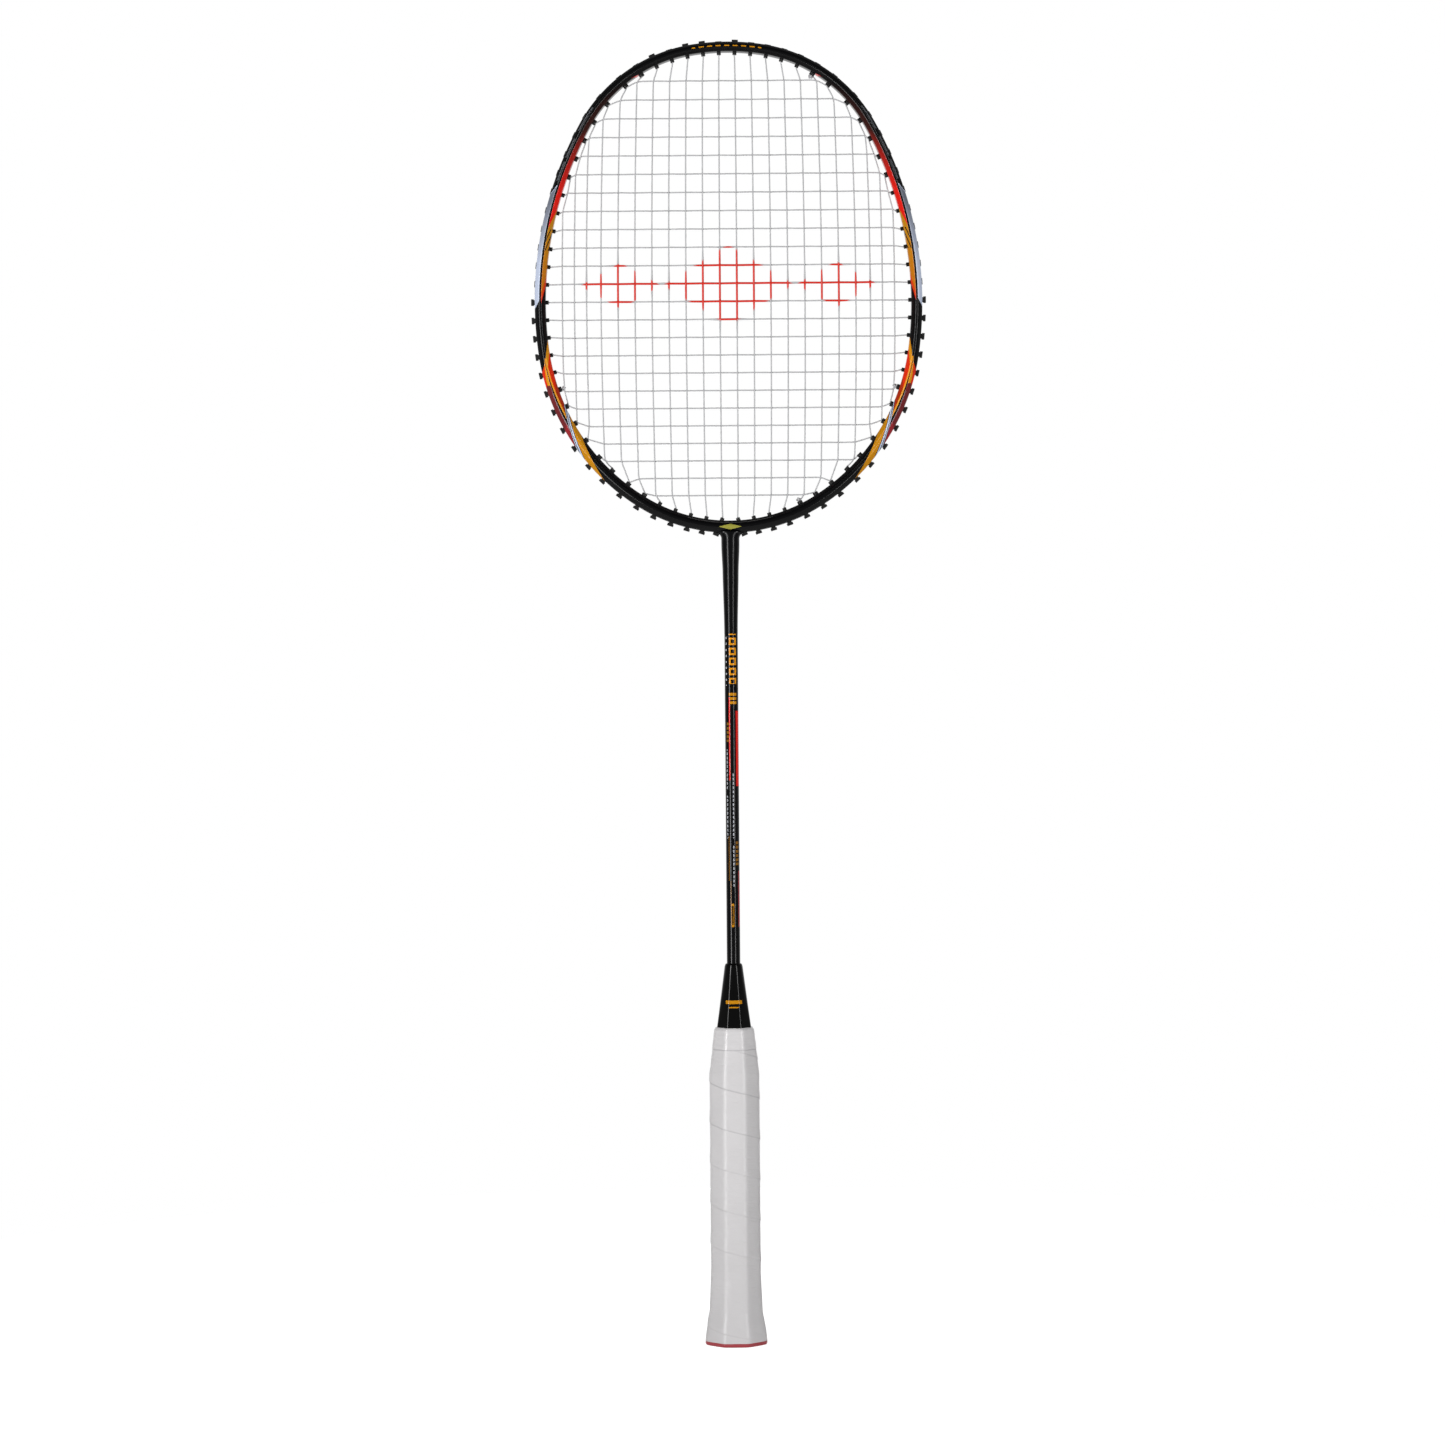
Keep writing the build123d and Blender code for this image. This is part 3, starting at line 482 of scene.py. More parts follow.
# %% [markdown]
# ## The shaft
#
# The shaft is a drawn carbon tube with a turned-down top that is glued inside the neck. It is black with
# pinstripes and bars. Its profile is turned round Z, and the stripes read X and Z on the front.

# %% Shaft tube and its stripes
def make_shaft_paint():
    """The same lacquer as on the hoop, over bars and fine lines on the front: each row of the list is a
    colour, its left and right, its bottom and top, and the dashes that break it up."""
    material, tree, shader = new_material("lacquered_shaft", Roughness=0.15, Specular_IOR_Level=0.22)
    place, x, y, z = millimetres(tree)
    colour = linear(PAINT["black"])
    bar, core = dashes(tree, z, 2.6, 1.9), dashes(tree, z, 2.6, 1.0)
    tick, dot = dashes(tree, z, 1.1, 0.7), dashes(tree, z, 1.55, 0.5)
    front = add(tree, "ShaderNodeMath", {0: y, 1: 0.0}, operation="LESS_THAN").outputs[0]
    stripes = [("amber", -1.2, 2.4, 342, 380, bar), ("black", -0.3, 1.6, 342, 380, core),
               ("pale", -2.9, -2.4, 341, 382, dot), ("gold", -1.4, 2.4, 331, 338, tick),
               ("scarlet", -1.5, -0.9, 292, 335, front), ("scarlet", 2.1, 3.6, 289, 328, front),
               ("bronze", -2.6, -1.4, 312, 322, tick), ("pale", -2.7, -2.3, 262, 284, tick),
               ("pale", -2.7, -2.3, 287, 308, tick), ("pale", 0.3, 0.8, 262, 296, tick),
               ("pale", 0.3, 0.8, 237, 258, tick), ("bronze", -2.0, -1.7, 240, 263, front),
               ("bronze", -1.2, -0.9, 227, 240, front), ("bronze", 1.6, 3.0, 248, 261, tick),
               ("red", 2.7, 3.6, 216, 245, front), ("gold", -0.9, 0.5, 216, 228, front),
               ("black", -0.6, 0.2, 217, 227, front)]
    for paint, left, right, low, high, dash in stripes:
        colour = paint_over(tree, colour, linear(PAINT[paint]), between(tree, x, left, right),
                            between(tree, z, low, high), dash, front)
    tree.links.new(colour, shader.inputs["Base Color"])
    ripple = add(tree, "ShaderNodeTexNoise", {"Vector": place, "Scale": 0.12, "Detail": 1.0}).outputs["Fac"]
    surface_relief(tree, shader, ripple, 0.02)
    return material


def make_shaft():
    """(radius, height) corners of the tube's wall, turned round Z."""
    low, high = box_mm("shaft")
    radius, spigot, bore = high[0], 2.8, 2.2
    corners = np.array([(radius, low[2]), (radius, NECK_Z), (spigot, NECK_Z), (spigot, high[2]),
                        (bore, high[2]), (bore, low[2])])
    profile = round_corners(corners, np.full(6, 0.15), 3, closed=True)
    return make_piece("shaft_tube", [shell(turned(profile, 64), ring=True)], make_shaft_paint(),
                      "painted_composite", ["shaft"])


shaft = make_shaft()

# %% [markdown]
# ## The handle
#
# Under the grip the handle is eight-sided. A soft octagon comes from a p-norm: the radius at an angle is the
# reciprocal of the p-norm of the four cosines to its flats, and p sets how round the corners are. The same
# profile makes the cone cap, the wrapped grip, its closing tape and the butt cap.

# %% A soft octagon
FLARE_HEIGHT, TAPER_START = 26.0, 140.0                  # the butt's flare ends and the top taper starts
GRIP_WIDTH, GRIP_DEPTH, GRIP_TOP_WIDTH = 26.0, 24.6, 20.3
BUTT_WIDTH, BUTT_DEPTH = 2 * GRIP_HIGH[0], 2 * GRIP_HIGH[1]
GRIP_TOP = GRIP_HIGH[2]


def soft_octagon(angle, sharpness):
    """Radius of an octagon with flats 1 from its centre: (sum of |cos(angle - k 45 degrees)|^p)^(-1/p)."""
    cosines = np.abs(np.cos(angle[..., None] - np.arange(4) * np.pi / 4))
    return (cosines ** sharpness).sum(-1) ** (-1 / sharpness)


def handle_size(z):
    """Half width and half depth of the grip at height z: an eased flare, a straight length and a taper."""
    eased = smooth_step(1 - z / FLARE_HEIGHT)
    taper = np.clip((z - TAPER_START) / (GRIP_TOP - TAPER_START), 0, 1) * (1 - GRIP_TOP_WIDTH / GRIP_WIDTH)
    wide = GRIP_WIDTH * (1 - taper) + (BUTT_WIDTH - GRIP_WIDTH) * eased
    deep = GRIP_DEPTH * (1 - taper) + (BUTT_DEPTH - GRIP_DEPTH) * eased
    return wide / 2, deep / 2


def octagon_rows(z, wide, deep, sharpness, columns, proud=0.0):
    """Rows of octagons: ((wide + proud) r cos t, (deep + proud) r sin t, z)."""
    t = np.linspace(0, 2 * np.pi, columns, endpoint=False)
    r = soft_octagon(t, sharpness)
    x, y = (wide[:, None] + proud) * r * np.cos(t), (deep[:, None] + proud) * r * np.sin(t)
    return np.stack([x, y, z[:, None] + 0 * t], -1)


# %% [markdown]
# The grip is a soft polyurethane tape wound up the handle with its edges overlapping, so a low ledge runs
# round it like a screw thread. The ledge and the wrinkles of the wound tape are real height in the mesh; the
# fine grain is bump in the finish. The tape still has the slight gloss of a new grip.

# %% Wrapped grip
WIND_PITCH, LEDGE = 21.0, 0.22                           # rise of one turn, and the tape's step at an overlap
COLUMNS = 128
tape_foot = box_mm("grip_finishing_tape")[0][2]


def make_grip_leather():
    """Cast polyurethane: pale grey, satin, with a fine grain and faint clouding from handling."""
    material, tree, shader = new_material("cast_polyurethane", Coat_Weight=0.25, Coat_Roughness=0.28)
    place = millimetres(tree)[0]
    cloud = add(tree, "ShaderNodeTexNoise", {"Vector": place, "Scale": 0.06, "Detail": 4.0}).outputs["Fac"]
    tint = paint_over(tree, linear("#BFBDBE"), linear("#C8C6C7"), cloud)
    # Painted shade: the grip is darkened to #9C9A9C in thin lines round each overlap ledge and under the
    # closing tape's foot.
    seam = add(tree, "ShaderNodeAttribute", attribute_name="seam").outputs["Fac"]
    colour = paint_over(tree, tint, linear("#9C9A9C"), seam)
    tree.links.new(colour, shader.inputs["Base Color"])
    gloss = add(tree, "ShaderNodeMapRange", {0: cloud, 3: 0.34, 4: 0.5}).outputs[0]
    tree.links.new(gloss, shader.inputs["Roughness"])
    level = add(tree, "ShaderNodeMapping", {0: place, "Scale": (0.1, 0.1, 0.55)}).outputs[0]
    crease = add(tree, "ShaderNodeTexNoise",
                 {"Vector": level, "Scale": 1.0, "Detail": 4.0, "Distortion": 0.6}).outputs["Fac"]
    surface_relief(tree, shader, crease, 0.3)
    return material


def wound_height(z, t):
    """Height of the wound tape: a ledge that falls down the turn's first third, u being z / pitch + t / 360,
    and slow waves that stand for the tape's wrinkles."""
    u = np.mod(z / WIND_PITCH + t / (2 * np.pi), 1)
    ledge = LEDGE * (smooth_step(u / 0.035) - smooth_step((u - 0.035) / 0.3))
    waves = np.sin(z / 3.7 + 2 * t) * np.sin(z / 9.1 - t) + np.sin(z / 6.3 + 3 * t + 1) * np.sin(z / 23)
    return ledge + 0.04 * waves, u


def make_grip():
    """Outer rows with the wound height added, then two rows of the inner wall, joined into one sleeve. Its
    painted shade, darker lines where the overlaps step, is a bell curve round each ledge and round the closing
    tape's foot."""
    z = np.linspace(GRIP_LOW[2], GRIP_TOP, 520)
    wide, deep = handle_size(z)
    t = np.linspace(0, 2 * np.pi, COLUMNS, endpoint=False)
    height, u = wound_height(z[:, None], t)
    calm = smooth_step((z - GRIP_LOW[2]) / 4) * smooth_step((tape_foot + 2 - z) / 6)
    inset = 0.1 + 2.2 * smooth_step((z - GRIP_TOP + 3) / 3)
    outer = octagon_rows(z, wide - inset, deep - inset, 22, COLUMNS)
    outward = unit(outer * [1, 1, 0])
    outer = outer + outward * (height * calm[:, None])[..., None]
    ends = z[[-1, 0]]
    inner_wide, inner_deep = handle_size(ends)
    wall = np.array([3.0, 1.5])
    inner = octagon_rows(ends, inner_wide - wall, inner_deep - wall, 22, COLUMNS)
    # Painted shade under each ledge and under the tape's foot, fainter towards the butt.
    faded = calm * (0.3 + 0.7 * smooth_step((z - 85) / 40))
    seam = 0.85 * np.exp(-((u - 0.012) / 0.014) ** 2) * faded[:, None]
    seam = np.maximum(seam, 0.7 * np.exp(-((z - tape_foot + 0.25) / 0.35) ** 2)[:, None])
    grid = np.concatenate([outer, inner])
    seam = np.concatenate([seam, np.zeros((2, COLUMNS))])
    return make_piece("grip_tape", [shell(grid, ring=True)], make_grip_leather(), "grip_polyurethane",
                      ["grip_wrap"], seam=seam)


grip = make_grip()

# %% [markdown]
# A band of plain stretchy tape closes the top of the grip. It is cut square, so its edge runs level round the
# handle, and it bridges the grip's ledge with a few creases.

# %% Closing tape
def make_tape_film():
    """PVC film: a little whiter and glossier than the grip, creased where it is stretched, with painted shade
    in the crease valleys.
    """
    material, tree, shader = new_material("pvc_film", Roughness=0.3, Coat_Weight=0.2, Coat_Roughness=0.2)
    place = millimetres(tree)[0]
    level = add(tree, "ShaderNodeMapping", {0: place, "Scale": (0.15, 0.15, 1.1)}).outputs[0]
    crease = add(tree, "ShaderNodeTexNoise", {"Vector": level, "Scale": 1.0, "Detail": 3.0}).outputs["Fac"]
    # Painted shade: the film's colour follows the crease height, darker in the valleys and lighter on the
    # ridges.
    tint = paint_over(tree, linear("#BEBCBD"), linear("#CCCACB"), crease)
    tree.links.new(tint, shader.inputs["Base Color"])
    surface_relief(tree, shader, crease, 0.35, 0.5)
    return material


def make_closing_tape():
    """A sleeve with slow creases 0.05 high, whose top folds in under the cone: by R - sqrt(R^2 - h^2)."""
    top, fold = CONE_LOW[2] + 0.1, 2.0
    z = np.concatenate([[tape_foot, tape_foot + 0.08], np.linspace(tape_foot + 0.25, top - fold, 32),
                        np.linspace(top - 1.8, top, 12)])
    wide, deep = handle_size(z)
    lip = fold - np.sqrt(fold ** 2 - np.clip(z - (top - 1.9), 0, 1.9) ** 2)
    edge = np.where(z < tape_foot + 0.01, -0.12, 0.0) - lip
    t = np.linspace(0, 2 * np.pi, COLUMNS, endpoint=False)
    outer = octagon_rows(z, wide + 0.1 + edge, deep + 0.1 + edge, 22, COLUMNS)
    crease = 0.05 * np.sin(z[:, None] * 1.3 + 2 * np.sin(2 * t)) * smooth_step((z - tape_foot) / 2)[:, None]
    outer = outer + unit(outer * [1, 1, 0]) * crease[..., None]
    ends = z[[-1, 0]]
    inner_wide, inner_deep = handle_size(ends)
    inset = np.array([2.4, 0.6])
    inner = octagon_rows(ends, inner_wide - inset, inner_deep - inset, 22, COLUMNS)
    return make_piece("closing_tape", [shell(np.concatenate([outer, inner]), ring=True)], make_tape_film(),
                      "finishing_tape", ["grip_finishing_tape"])


closing_tape = make_closing_tape()

# %% [markdown]
# The cone cap is injection-moulded ABS, polished black. It is eight-sided where it meets the grip and round
# at the shaft, so each row of the grid is a blend of the octagon and the circle.

# %% Cone cap
CONE_TOP_HALF, CONE_BORE, CONE_WALL = 4.5, 3.6, 1.3      # half width at the top, radius round the shaft, wall


def make_gloss_abs():
    """Polished ABS: deep black with a sharp gloss and hair-fine scratches."""
    material, tree, shader = new_material("polished_abs", Specular_IOR_Level=0.22)
    place, x, y, z = millimetres(tree)
    front = add(tree, "ShaderNodeMath", {0: y, 1: 0.0}, operation="LESS_THAN").outputs[0]
    colour = paint_over(tree, linear("#040404"), linear(PAINT["gold"]), between(tree, x, -4.2, 4.2),
                        between(tree, z, 176.4, 178.2), front)
    colour = paint_over(tree, colour, linear(PAINT["gold"]), between(tree, x, -2.6, 2.6),
                        between(tree, z, 174.3, 174.9), front)
    tree.links.new(colour, shader.inputs["Base Color"])
    fine = add(tree, "ShaderNodeTexNoise", {"Vector": place, "Scale": 2.5, "Detail": 2.0}).outputs["Fac"]
    gloss = add(tree, "ShaderNodeMapRange", {0: fine, 3: 0.1, 4: 0.16}).outputs[0]
    tree.links.new(gloss, shader.inputs["Roughness"])
    ripple = add(tree, "ShaderNodeTexNoise", {"Vector": place, "Scale": 0.1, "Detail": 1.0}).outputs["Fac"]
    surface_relief(tree, shader, ripple, 0.02)
    return material


def make_cone():
    """Rows ((1 - f) octagon + f circle) x half width, f from 0 at the grip to 1 at the shaft: the outside,
    the rounded top rim, and the two ends of the bore."""
    low, high = CONE_LOW[2], CONE_HIGH[2]
    f = np.concatenate([[0.0, 0.012], np.linspace(0.05, 0.955, 30), [0.975, 0.99, 1.0, 1.0, 0.6, 0.0]])
    inset = np.concatenate([[0.15, 0.0], np.zeros(30), [0.12, 0.3, 0.65, 0.93, 0.0, 0.0]])
    half = CONE_HIGH[0] + (CONE_TOP_HALF - CONE_HIGH[0]) * f - inset
    half[-2:] = CONE_BORE, CONE_HIGH[0] - CONE_WALL
    z = low + (high - low) * f
    t = np.linspace(0, 2 * np.pi, 96, endpoint=False)
    r = (1 - f[:, None]) * soft_octagon(t, 60) + f[:, None]
    grid = np.stack([half[:, None] * r * np.cos(t), half[:, None] * r * np.sin(t), z[:, None] + 0 * t], -1)
    return make_piece("cone_moulding", [shell(grid, ring=True)], make_gloss_abs(), "black_gloss_plastic",
                      ["cone_cap"])


cone = make_cone()

# %% [markdown]
# The butt cap closes the handle's end: a moulded red disc with the handle's outline, rounded at its rim, with
# a shallow ring pressed into its face. Its grid runs from the centre outwards, so its pole is a small flat.

# %% Butt cap
def make_red_polypropylene():
    """Moulded polypropylene: red, satin, with the fine spark-eroded grain of its mould."""
    material, tree, shader = new_material("red_polypropylene", Roughness=0.38)
    grain = add(tree, "ShaderNodeTexNoise",
                {"Vector": millimetres(tree)[0], "Scale": 3.0, "Detail": 2.0}).outputs["Fac"]
    tint = paint_over(tree, linear("#902F36"), linear("#A43C44"), grain)
    tree.links.new(tint, shader.inputs["Base Color"])
    surface_relief(tree, shader, grain, 0.04, 0.5)
    return material


def make_butt():
    """Rows (share of the outline, height) of the octagon: the face with its pressed ring, the rounded rim and
    side, and the plug."""
    face = [(0.02, 0.3), (0.3, 0.3), (0.5, 0.3), (0.52, 0.32), (0.56, 0.55), (0.60, 0.55), (0.64, 0.32),
            (0.66, 0.0), (0.8, 0.0), (0.95, 0.0)]
    edge = [(0.975, 0.12), (0.99, 0.4), (1.0, 0.8), (1.0, 1.5), (1.0, 2.0), (0.98, 2.0)]
    plug = [(0.42, 2.0), (0.42, 8.0), (0.36, 10.0), (0.36, 10.0), (0.02, 10.0)]
    share, z = np.array(face + edge + plug).T
    wide, deep = handle_size(np.clip(z, 0, 2))
    grid = octagon_rows(z, wide * share, deep * share, 22, COLUMNS)
    return make_piece("butt_moulding", [shell(grid)], make_red_polypropylene(), "red_plastic", ["butt_cap"])


butt = make_butt()

# %% [markdown]
# ## Where the strings run
#
# Two lengths of string make the bed. The main string runs up and down, the cross string from side to side,
# over one main and under the next. Both pass in through a grommet, over the bed, out through another and
# along the channel to the next. The hole positions follow from the pitch of the strings, so the route is a
# list of turning points, and the same rounding as before bends it.

# %% Holes round the rim
CROWN_HOLES, SIDE_CROSSES, HOLES = 6, 22, 36
MAINS_EACH_SIDE, CROSSES, EVEN_MAINS = 11, 24, 8
MAIN_PITCH, CROWN_PITCH, HEEL_PITCH = 8.82, 8.35, 8.45
OUTER_STEPS = (7.5, 6.3, 6.3)                            # steps out to the last three mains
STRING_RADIUS = 0.35
WEAVE_OFFSET, PAIR_OFFSET, BARREL_PROUD = 0.37, 0.42, 1.5
CROSS_LEAD, CLOSEST_MAINS, KNOT_STANDOFF = 1.6, 3.2, 2.2
TIGHT_BEND, WEAVE_BEND, GROOVE_BEND = 0.75, 11.0, 3.0    # bend radii: in a hole, at a crossing, in the groove
MAIN_TOP, MAIN_FOOT = {11: 12}, {9: 27, 10: 26, 11: 25}
CROSS_HOLE = {23: 30, 24: 31}
MAIN_TIE, CROSS_START, CROSS_END = 24, 6, 32
WIDE_HOLES = {*range(6, 13), *range(24, 32)}
SPLAYED = {34: (0.3, 2.0), 35: (0.8, 9.0), 36: (1.5, 19.0)}    # shift and lean of the holes beside the neck


def cross_z(k):
    """Height of cross k: 19.9 below the crown, then a pitch of 9.72 that loses 0.033 at every gap."""
    return CROWN_Z - 19.9 - 9.72 * (k - 1) + 0.033 * (k - 1) * (k - 2) / 2


def main_x(i, z):
    """Distance of main i from the middle: the pitch is widest at the widest height and falls with the square
    of the distance from it; the outermost mains lie closer."""
    end, end_z = (CROWN_PITCH, CROWN_Z) if z > WIDEST_Z else (HEEL_PITCH, HEEL_Z)
    pitch = MAIN_PITCH - (MAIN_PITCH - end) * ((z - WIDEST_Z) / (end_z - WIDEST_Z)) ** 2
    return pitch * (min(i, EVEN_MAINS) - 0.5) + sum(OUTER_STEPS[:max(i - EVEN_MAINS, 0)]) * pitch / MAIN_PITCH


def find_holes():
    """Mid-line place, outward axis and reach each way of the holes on the right: the mid-line is tabled by
    its normal angle and read backwards at each string's X or Z. An axis is that normal, less the lean."""
    angle = np.linspace(0, 180, 36001)
    middle = outline(0.5, angle)
    shift, lean = np.array([SPLAYED.get(n, (0.0, 0.0)) for n in range(1, HOLES + 1)]).T
    top, foot = slice(0, 18001), slice(18000, None)
    at_crown = [np.interp(main_x(n, CROWN_Z), middle[top, 0], angle[top]) for n in range(1, CROWN_HOLES + 1)]
    at_side = [np.interp(-cross_z(k), -middle[:, 1], angle) for k in range(1, SIDE_CROSSES + 1)]
    at_heel = [np.interp(-main_x(HOLES + 1 - n, HEEL_Z) - shift[n - 1], -middle[foot, 0], angle[foot])
               for n in range(CROWN_HOLES + SIDE_CROSSES + 1, HOLES + 1)]
    found = np.array(at_crown + at_side + at_heel)
    place, turn, slant = outline(0.5, found), np.radians(found - lean), np.cos(np.radians(lean))
    normal = np.stack([np.sin(turn), np.cos(turn)], -1)
    out = np.linalg.norm(outline(0, found) - place, axis=1) / slant
    inn = np.linalg.norm(outline(1, found) - place, axis=1) / slant
    return place, normal, out, inn


hole_place, hole_normal, hole_out, hole_inn = find_holes()
print("holes beside the crown and the neck:", hole_place[[0, -1]].round(1).tolist())


# %% Routes of the two strings
def hole_point(side, number, along, y):
    """A point on a hole's axis, along millimetres outwards from the mid-line."""
    x, z = hole_place[number - 1] + hole_normal[number - 1] * along
    return (side * x, y, z)


def groove(side, number, y):
    return hole_point(side, number, hole_out[number - 1] - 0.5, y)


def mouth(side, number, y, extra=0.0):
    return hole_point(side, number, -hole_inn[number - 1] - BARREL_PROUD - extra, y)


def string_y(side, number, sign):
    """Two strings in one hole lie side by side, and a single one in the middle."""
    return sign * PAIR_OFFSET if number in WIDE_HOLES or (side, number) == (1, CROSS_END) else 0.0


def top_hole(i):
    return MAIN_TOP.get(i, i)


def foot_hole(i):
    return MAIN_FOOT.get(i, HOLES + 1 - i)


def cross_hole(k):
    return CROSS_HOLE.get(k, CROWN_HOLES + k)


def crosses_met(i):
    first = max(1, top_hole(i) - CROWN_HOLES + 1)
    return [k for k in range(first, CROSSES + 1) if cross_hole(k) < foot_hole(i)]


def crossing_x(i, k):
    """X where main i meets cross k: on its line, but clear of the cross's hole and the mains outside it."""
    outside = sum(k in crosses_met(j) for j in range(i + 1, MAINS_EACH_SIDE + 1))
    free = mouth(1, cross_hole(k), 0)[0] - CROSS_LEAD - CLOSEST_MAINS * outside
    return min(main_x(i, cross_z(k)), free)


def weave(number, k):
    """1 where main number lies behind cross k, and -1 where it lies in front."""
    return 1 if (number + k) % 2 else -1


def through(first, second, sign, crossings):
    """Turning points of one run: groove, mouth, every crossing, mouth, groove."""
    (side_a, hole_a), (side_b, hole_b) = first, second
    y_a, y_b = string_y(side_a, hole_a, sign), string_y(side_b, hole_b, sign)
    entry = [(groove(side_a, hole_a, y_a), TIGHT_BEND), (mouth(side_a, hole_a, y_a), TIGHT_BEND)]
    leaving = [(mouth(side_b, hole_b, y_b), TIGHT_BEND), (groove(side_b, hole_b, y_b), TIGHT_BEND)]
    return entry + [(point, WEAVE_BEND) for point in crossings] + leaving


def main_run(side, i):
    number = i if side > 0 else 1 - i
    crossings = [(side * crossing_x(i, k), WEAVE_OFFSET * weave(number, k), cross_z(k))
                 for k in crosses_met(i)]
    run = through((side, top_hole(i)), (side, foot_hole(i)), 1, crossings)
    return run if i % 2 else run[::-1]


def cross_run(k):
    numbers = range(1 - MAINS_EACH_SIDE, MAINS_EACH_SIDE + 1)
    mains = [(n, 1, n) if n > 0 else (n, -1, 1 - n) for n in numbers]
    crossings = [(side * crossing_x(i, k), -WEAVE_OFFSET * weave(n, k), cross_z(k))
                 for n, side, i in mains if k in crosses_met(i)]
    run = through((-1, cross_hole(k)), (1, cross_hole(k)), -1, crossings)
    return run[::-1] if k % 2 else run


def tie_off(side, number, y):
    return [(groove(side, number, y), TIGHT_BEND), (mouth(side, number, y, KNOT_STANDOFF), 0.0)]


def main_route():
    halves = {}
    for side in (-1, 1):
        half = []
        for i in range(1, MAINS_EACH_SIDE + 1):
            if top_hole(i) != i:
                half.append((groove(side, top_hole(i) - 1, PAIR_OFFSET), GROOVE_BEND))
            half += main_run(side, i)
        halves[side] = half + tie_off(side, MAIN_TIE, PAIR_OFFSET)
    return halves[-1][::-1] + halves[1]


def cross_route():
    route = tie_off(1, CROSS_START, -PAIR_OFFSET)[::-1]
    for k in range(1, CROSSES + 1):
        if k == CROSSES - 1:
            route.append((groove(1, cross_hole(k) - 1, -PAIR_OFFSET), GROOVE_BEND))
        route += cross_run(k)
    return route + tie_off(1, CROSS_END, -PAIR_OFFSET)


# %% [markdown]
# ## The strings
#
# Badminton string is a nylon core in a braided nylon jacket, 0.7 mm thick and pale. A stencilled motif is
# rubbed on to the bed with a felt marker, so only the strings take the colour: here a plain row of three
# lozenges. Its edges are soft, as ink that is dabbed on is.

# %% Nylon string
STENCIL_Z = 549.0                                        # middle of the stencilled motif
LOZENGES = [(0.0, 34.0, 21.0), (56.0, 21.0, 12.0)]       # distance from the middle, half width, half height
INK = 0.2                                                # how much the dried ink adds to the string's radius


def make_nylon_string():
    """Braided nylon: pale, with a sheen, and a braid too fine to show at its real 0.3 mm, drawn at 0.9 mm."""
    material, tree, shader = new_material("braided_nylon", Roughness=0.35, Specular_IOR_Level=0.5)
    _, x, _, z = millimetres(tree)
    wide, high = distance_from(tree, x, 0.0), distance_from(tree, z, STENCIL_Z)
    colour = linear("#A8A8AA")
    for middle, half_width, half_height in LOZENGES:
        reach = lozenge(tree, distance_from(tree, wide, middle), high, half_width, half_height)
        inside = add(tree, "ShaderNodeMapRange", {0: reach, 1: 1.03, 2: 0.97}).outputs[0]
        colour = paint_over(tree, colour, linear("#C81E04"), inside)
    tree.links.new(colour, shader.inputs["Base Color"])
    along = add(tree, "ShaderNodeAttribute", attribute_name="along").outputs["Fac"]
    around = add(tree, "ShaderNodeAttribute", attribute_name="around").outputs["Fac"]
    twist = add(tree, "ShaderNodeMath", {0: along, 1: 2 * np.pi / 0.9, 2: around},
                operation="MULTIPLY_ADD").outputs[0]
    braid = add(tree, "ShaderNodeMath", {0: twist}, operation="SINE").outputs[0]
    surface_relief(tree, shader, braid, 0.02, 0.3)
    return material


nylon_string = make_nylon_string()


def inked(path):
    """1 where (distance from a lozenge's middle / half width) + (distance from its height / half height) is
    under 1, and 0 where it is over 1.1."""
    reach = [np.abs(np.abs(path[:, 0]) - middle) / half_width + np.abs(path[:, 2] - STENCIL_Z) / half_height
             for middle, half_width, half_height in LOZENGES]
    return np.clip((1.1 - np.min(reach, axis=0)) / 0.1, 0, 1)


def make_string(name, route, node):
    """The route with its corners rounded, as a closed tube that the ink thickens by a hair, with the distance
    along it and the angle round it."""
    points, bends = np.array([point for point, _ in route]), np.array([bend for _, bend in route[1:-1]])
    path = round_corners(points, bends, 4)
    along = np.concatenate([[0], np.cumsum(np.linalg.norm(np.diff(path, axis=0), axis=1))])
    around = np.linspace(0, 2 * np.pi, 8, endpoint=False)
    print(f"{name}: {along[-1] / MM:.2f} m of string")
    radius = (STRING_RADIUS + INK * inked(path))[:, None, None]
    return make_piece(name, [shell(tube(path, radius, 8))], nylon_string, "string_nylon", [node],
                      along=np.broadcast_to(along[:, None], (len(path), 8)),
                      around=np.broadcast_to(around, (len(path), 8)))


main_string = make_string("main_string_run", main_route(), "main_string")
cross_string = make_string("cross_string_run", cross_route(), "cross_string")

# %% [markdown]
# Each end of string comes back in through a grommet and is tied off in a half hitch that is pulled up against
# the rim. A trefoil curve is such a knot with its ends joined, and it is small enough to stand for the hitch.

# %% Knots
def knot_shell(side, number, y):
    """The trefoil 0.36 x (sin t + 2 sin 2t, cos t - 2 cos 2t, -1.3 sin 3t), about its hole's axis just inside
    the mouth."""
    t = np.linspace(0, 2 * np.pi, 72, endpoint=False)
    trefoil = [np.sin(t) + 2 * np.sin(2 * t), np.cos(t) - 2 * np.cos(2 * t), -1.3 * np.sin(3 * t)]
    curve = np.stack(trefoil, -1) * 0.36
    nx, nz = side * hole_normal[number - 1][0], hole_normal[number - 1][1]
    axes = np.array([(nz, 0, -nx), (0, 1, 0), (nx, 0, nz)])
    path = np.array(mouth(side, number, y, 0.9)) + curve @ axes
    tangent = unit(np.roll(path, -1, 0) - np.roll(path, 1, 0))
    side_way = unit(np.cross(tangent, np.array([nx, 0, nz]) + 0 * tangent))
    up = np.cross(tangent, side_way)
    a = np.linspace(0, 2 * np.pi, 8, endpoint=False)[None, :, None]
    return shell(path[:, None] + 0.33 * (np.cos(a) * side_way[:, None] + np.sin(a) * up[:, None]), ring=True)


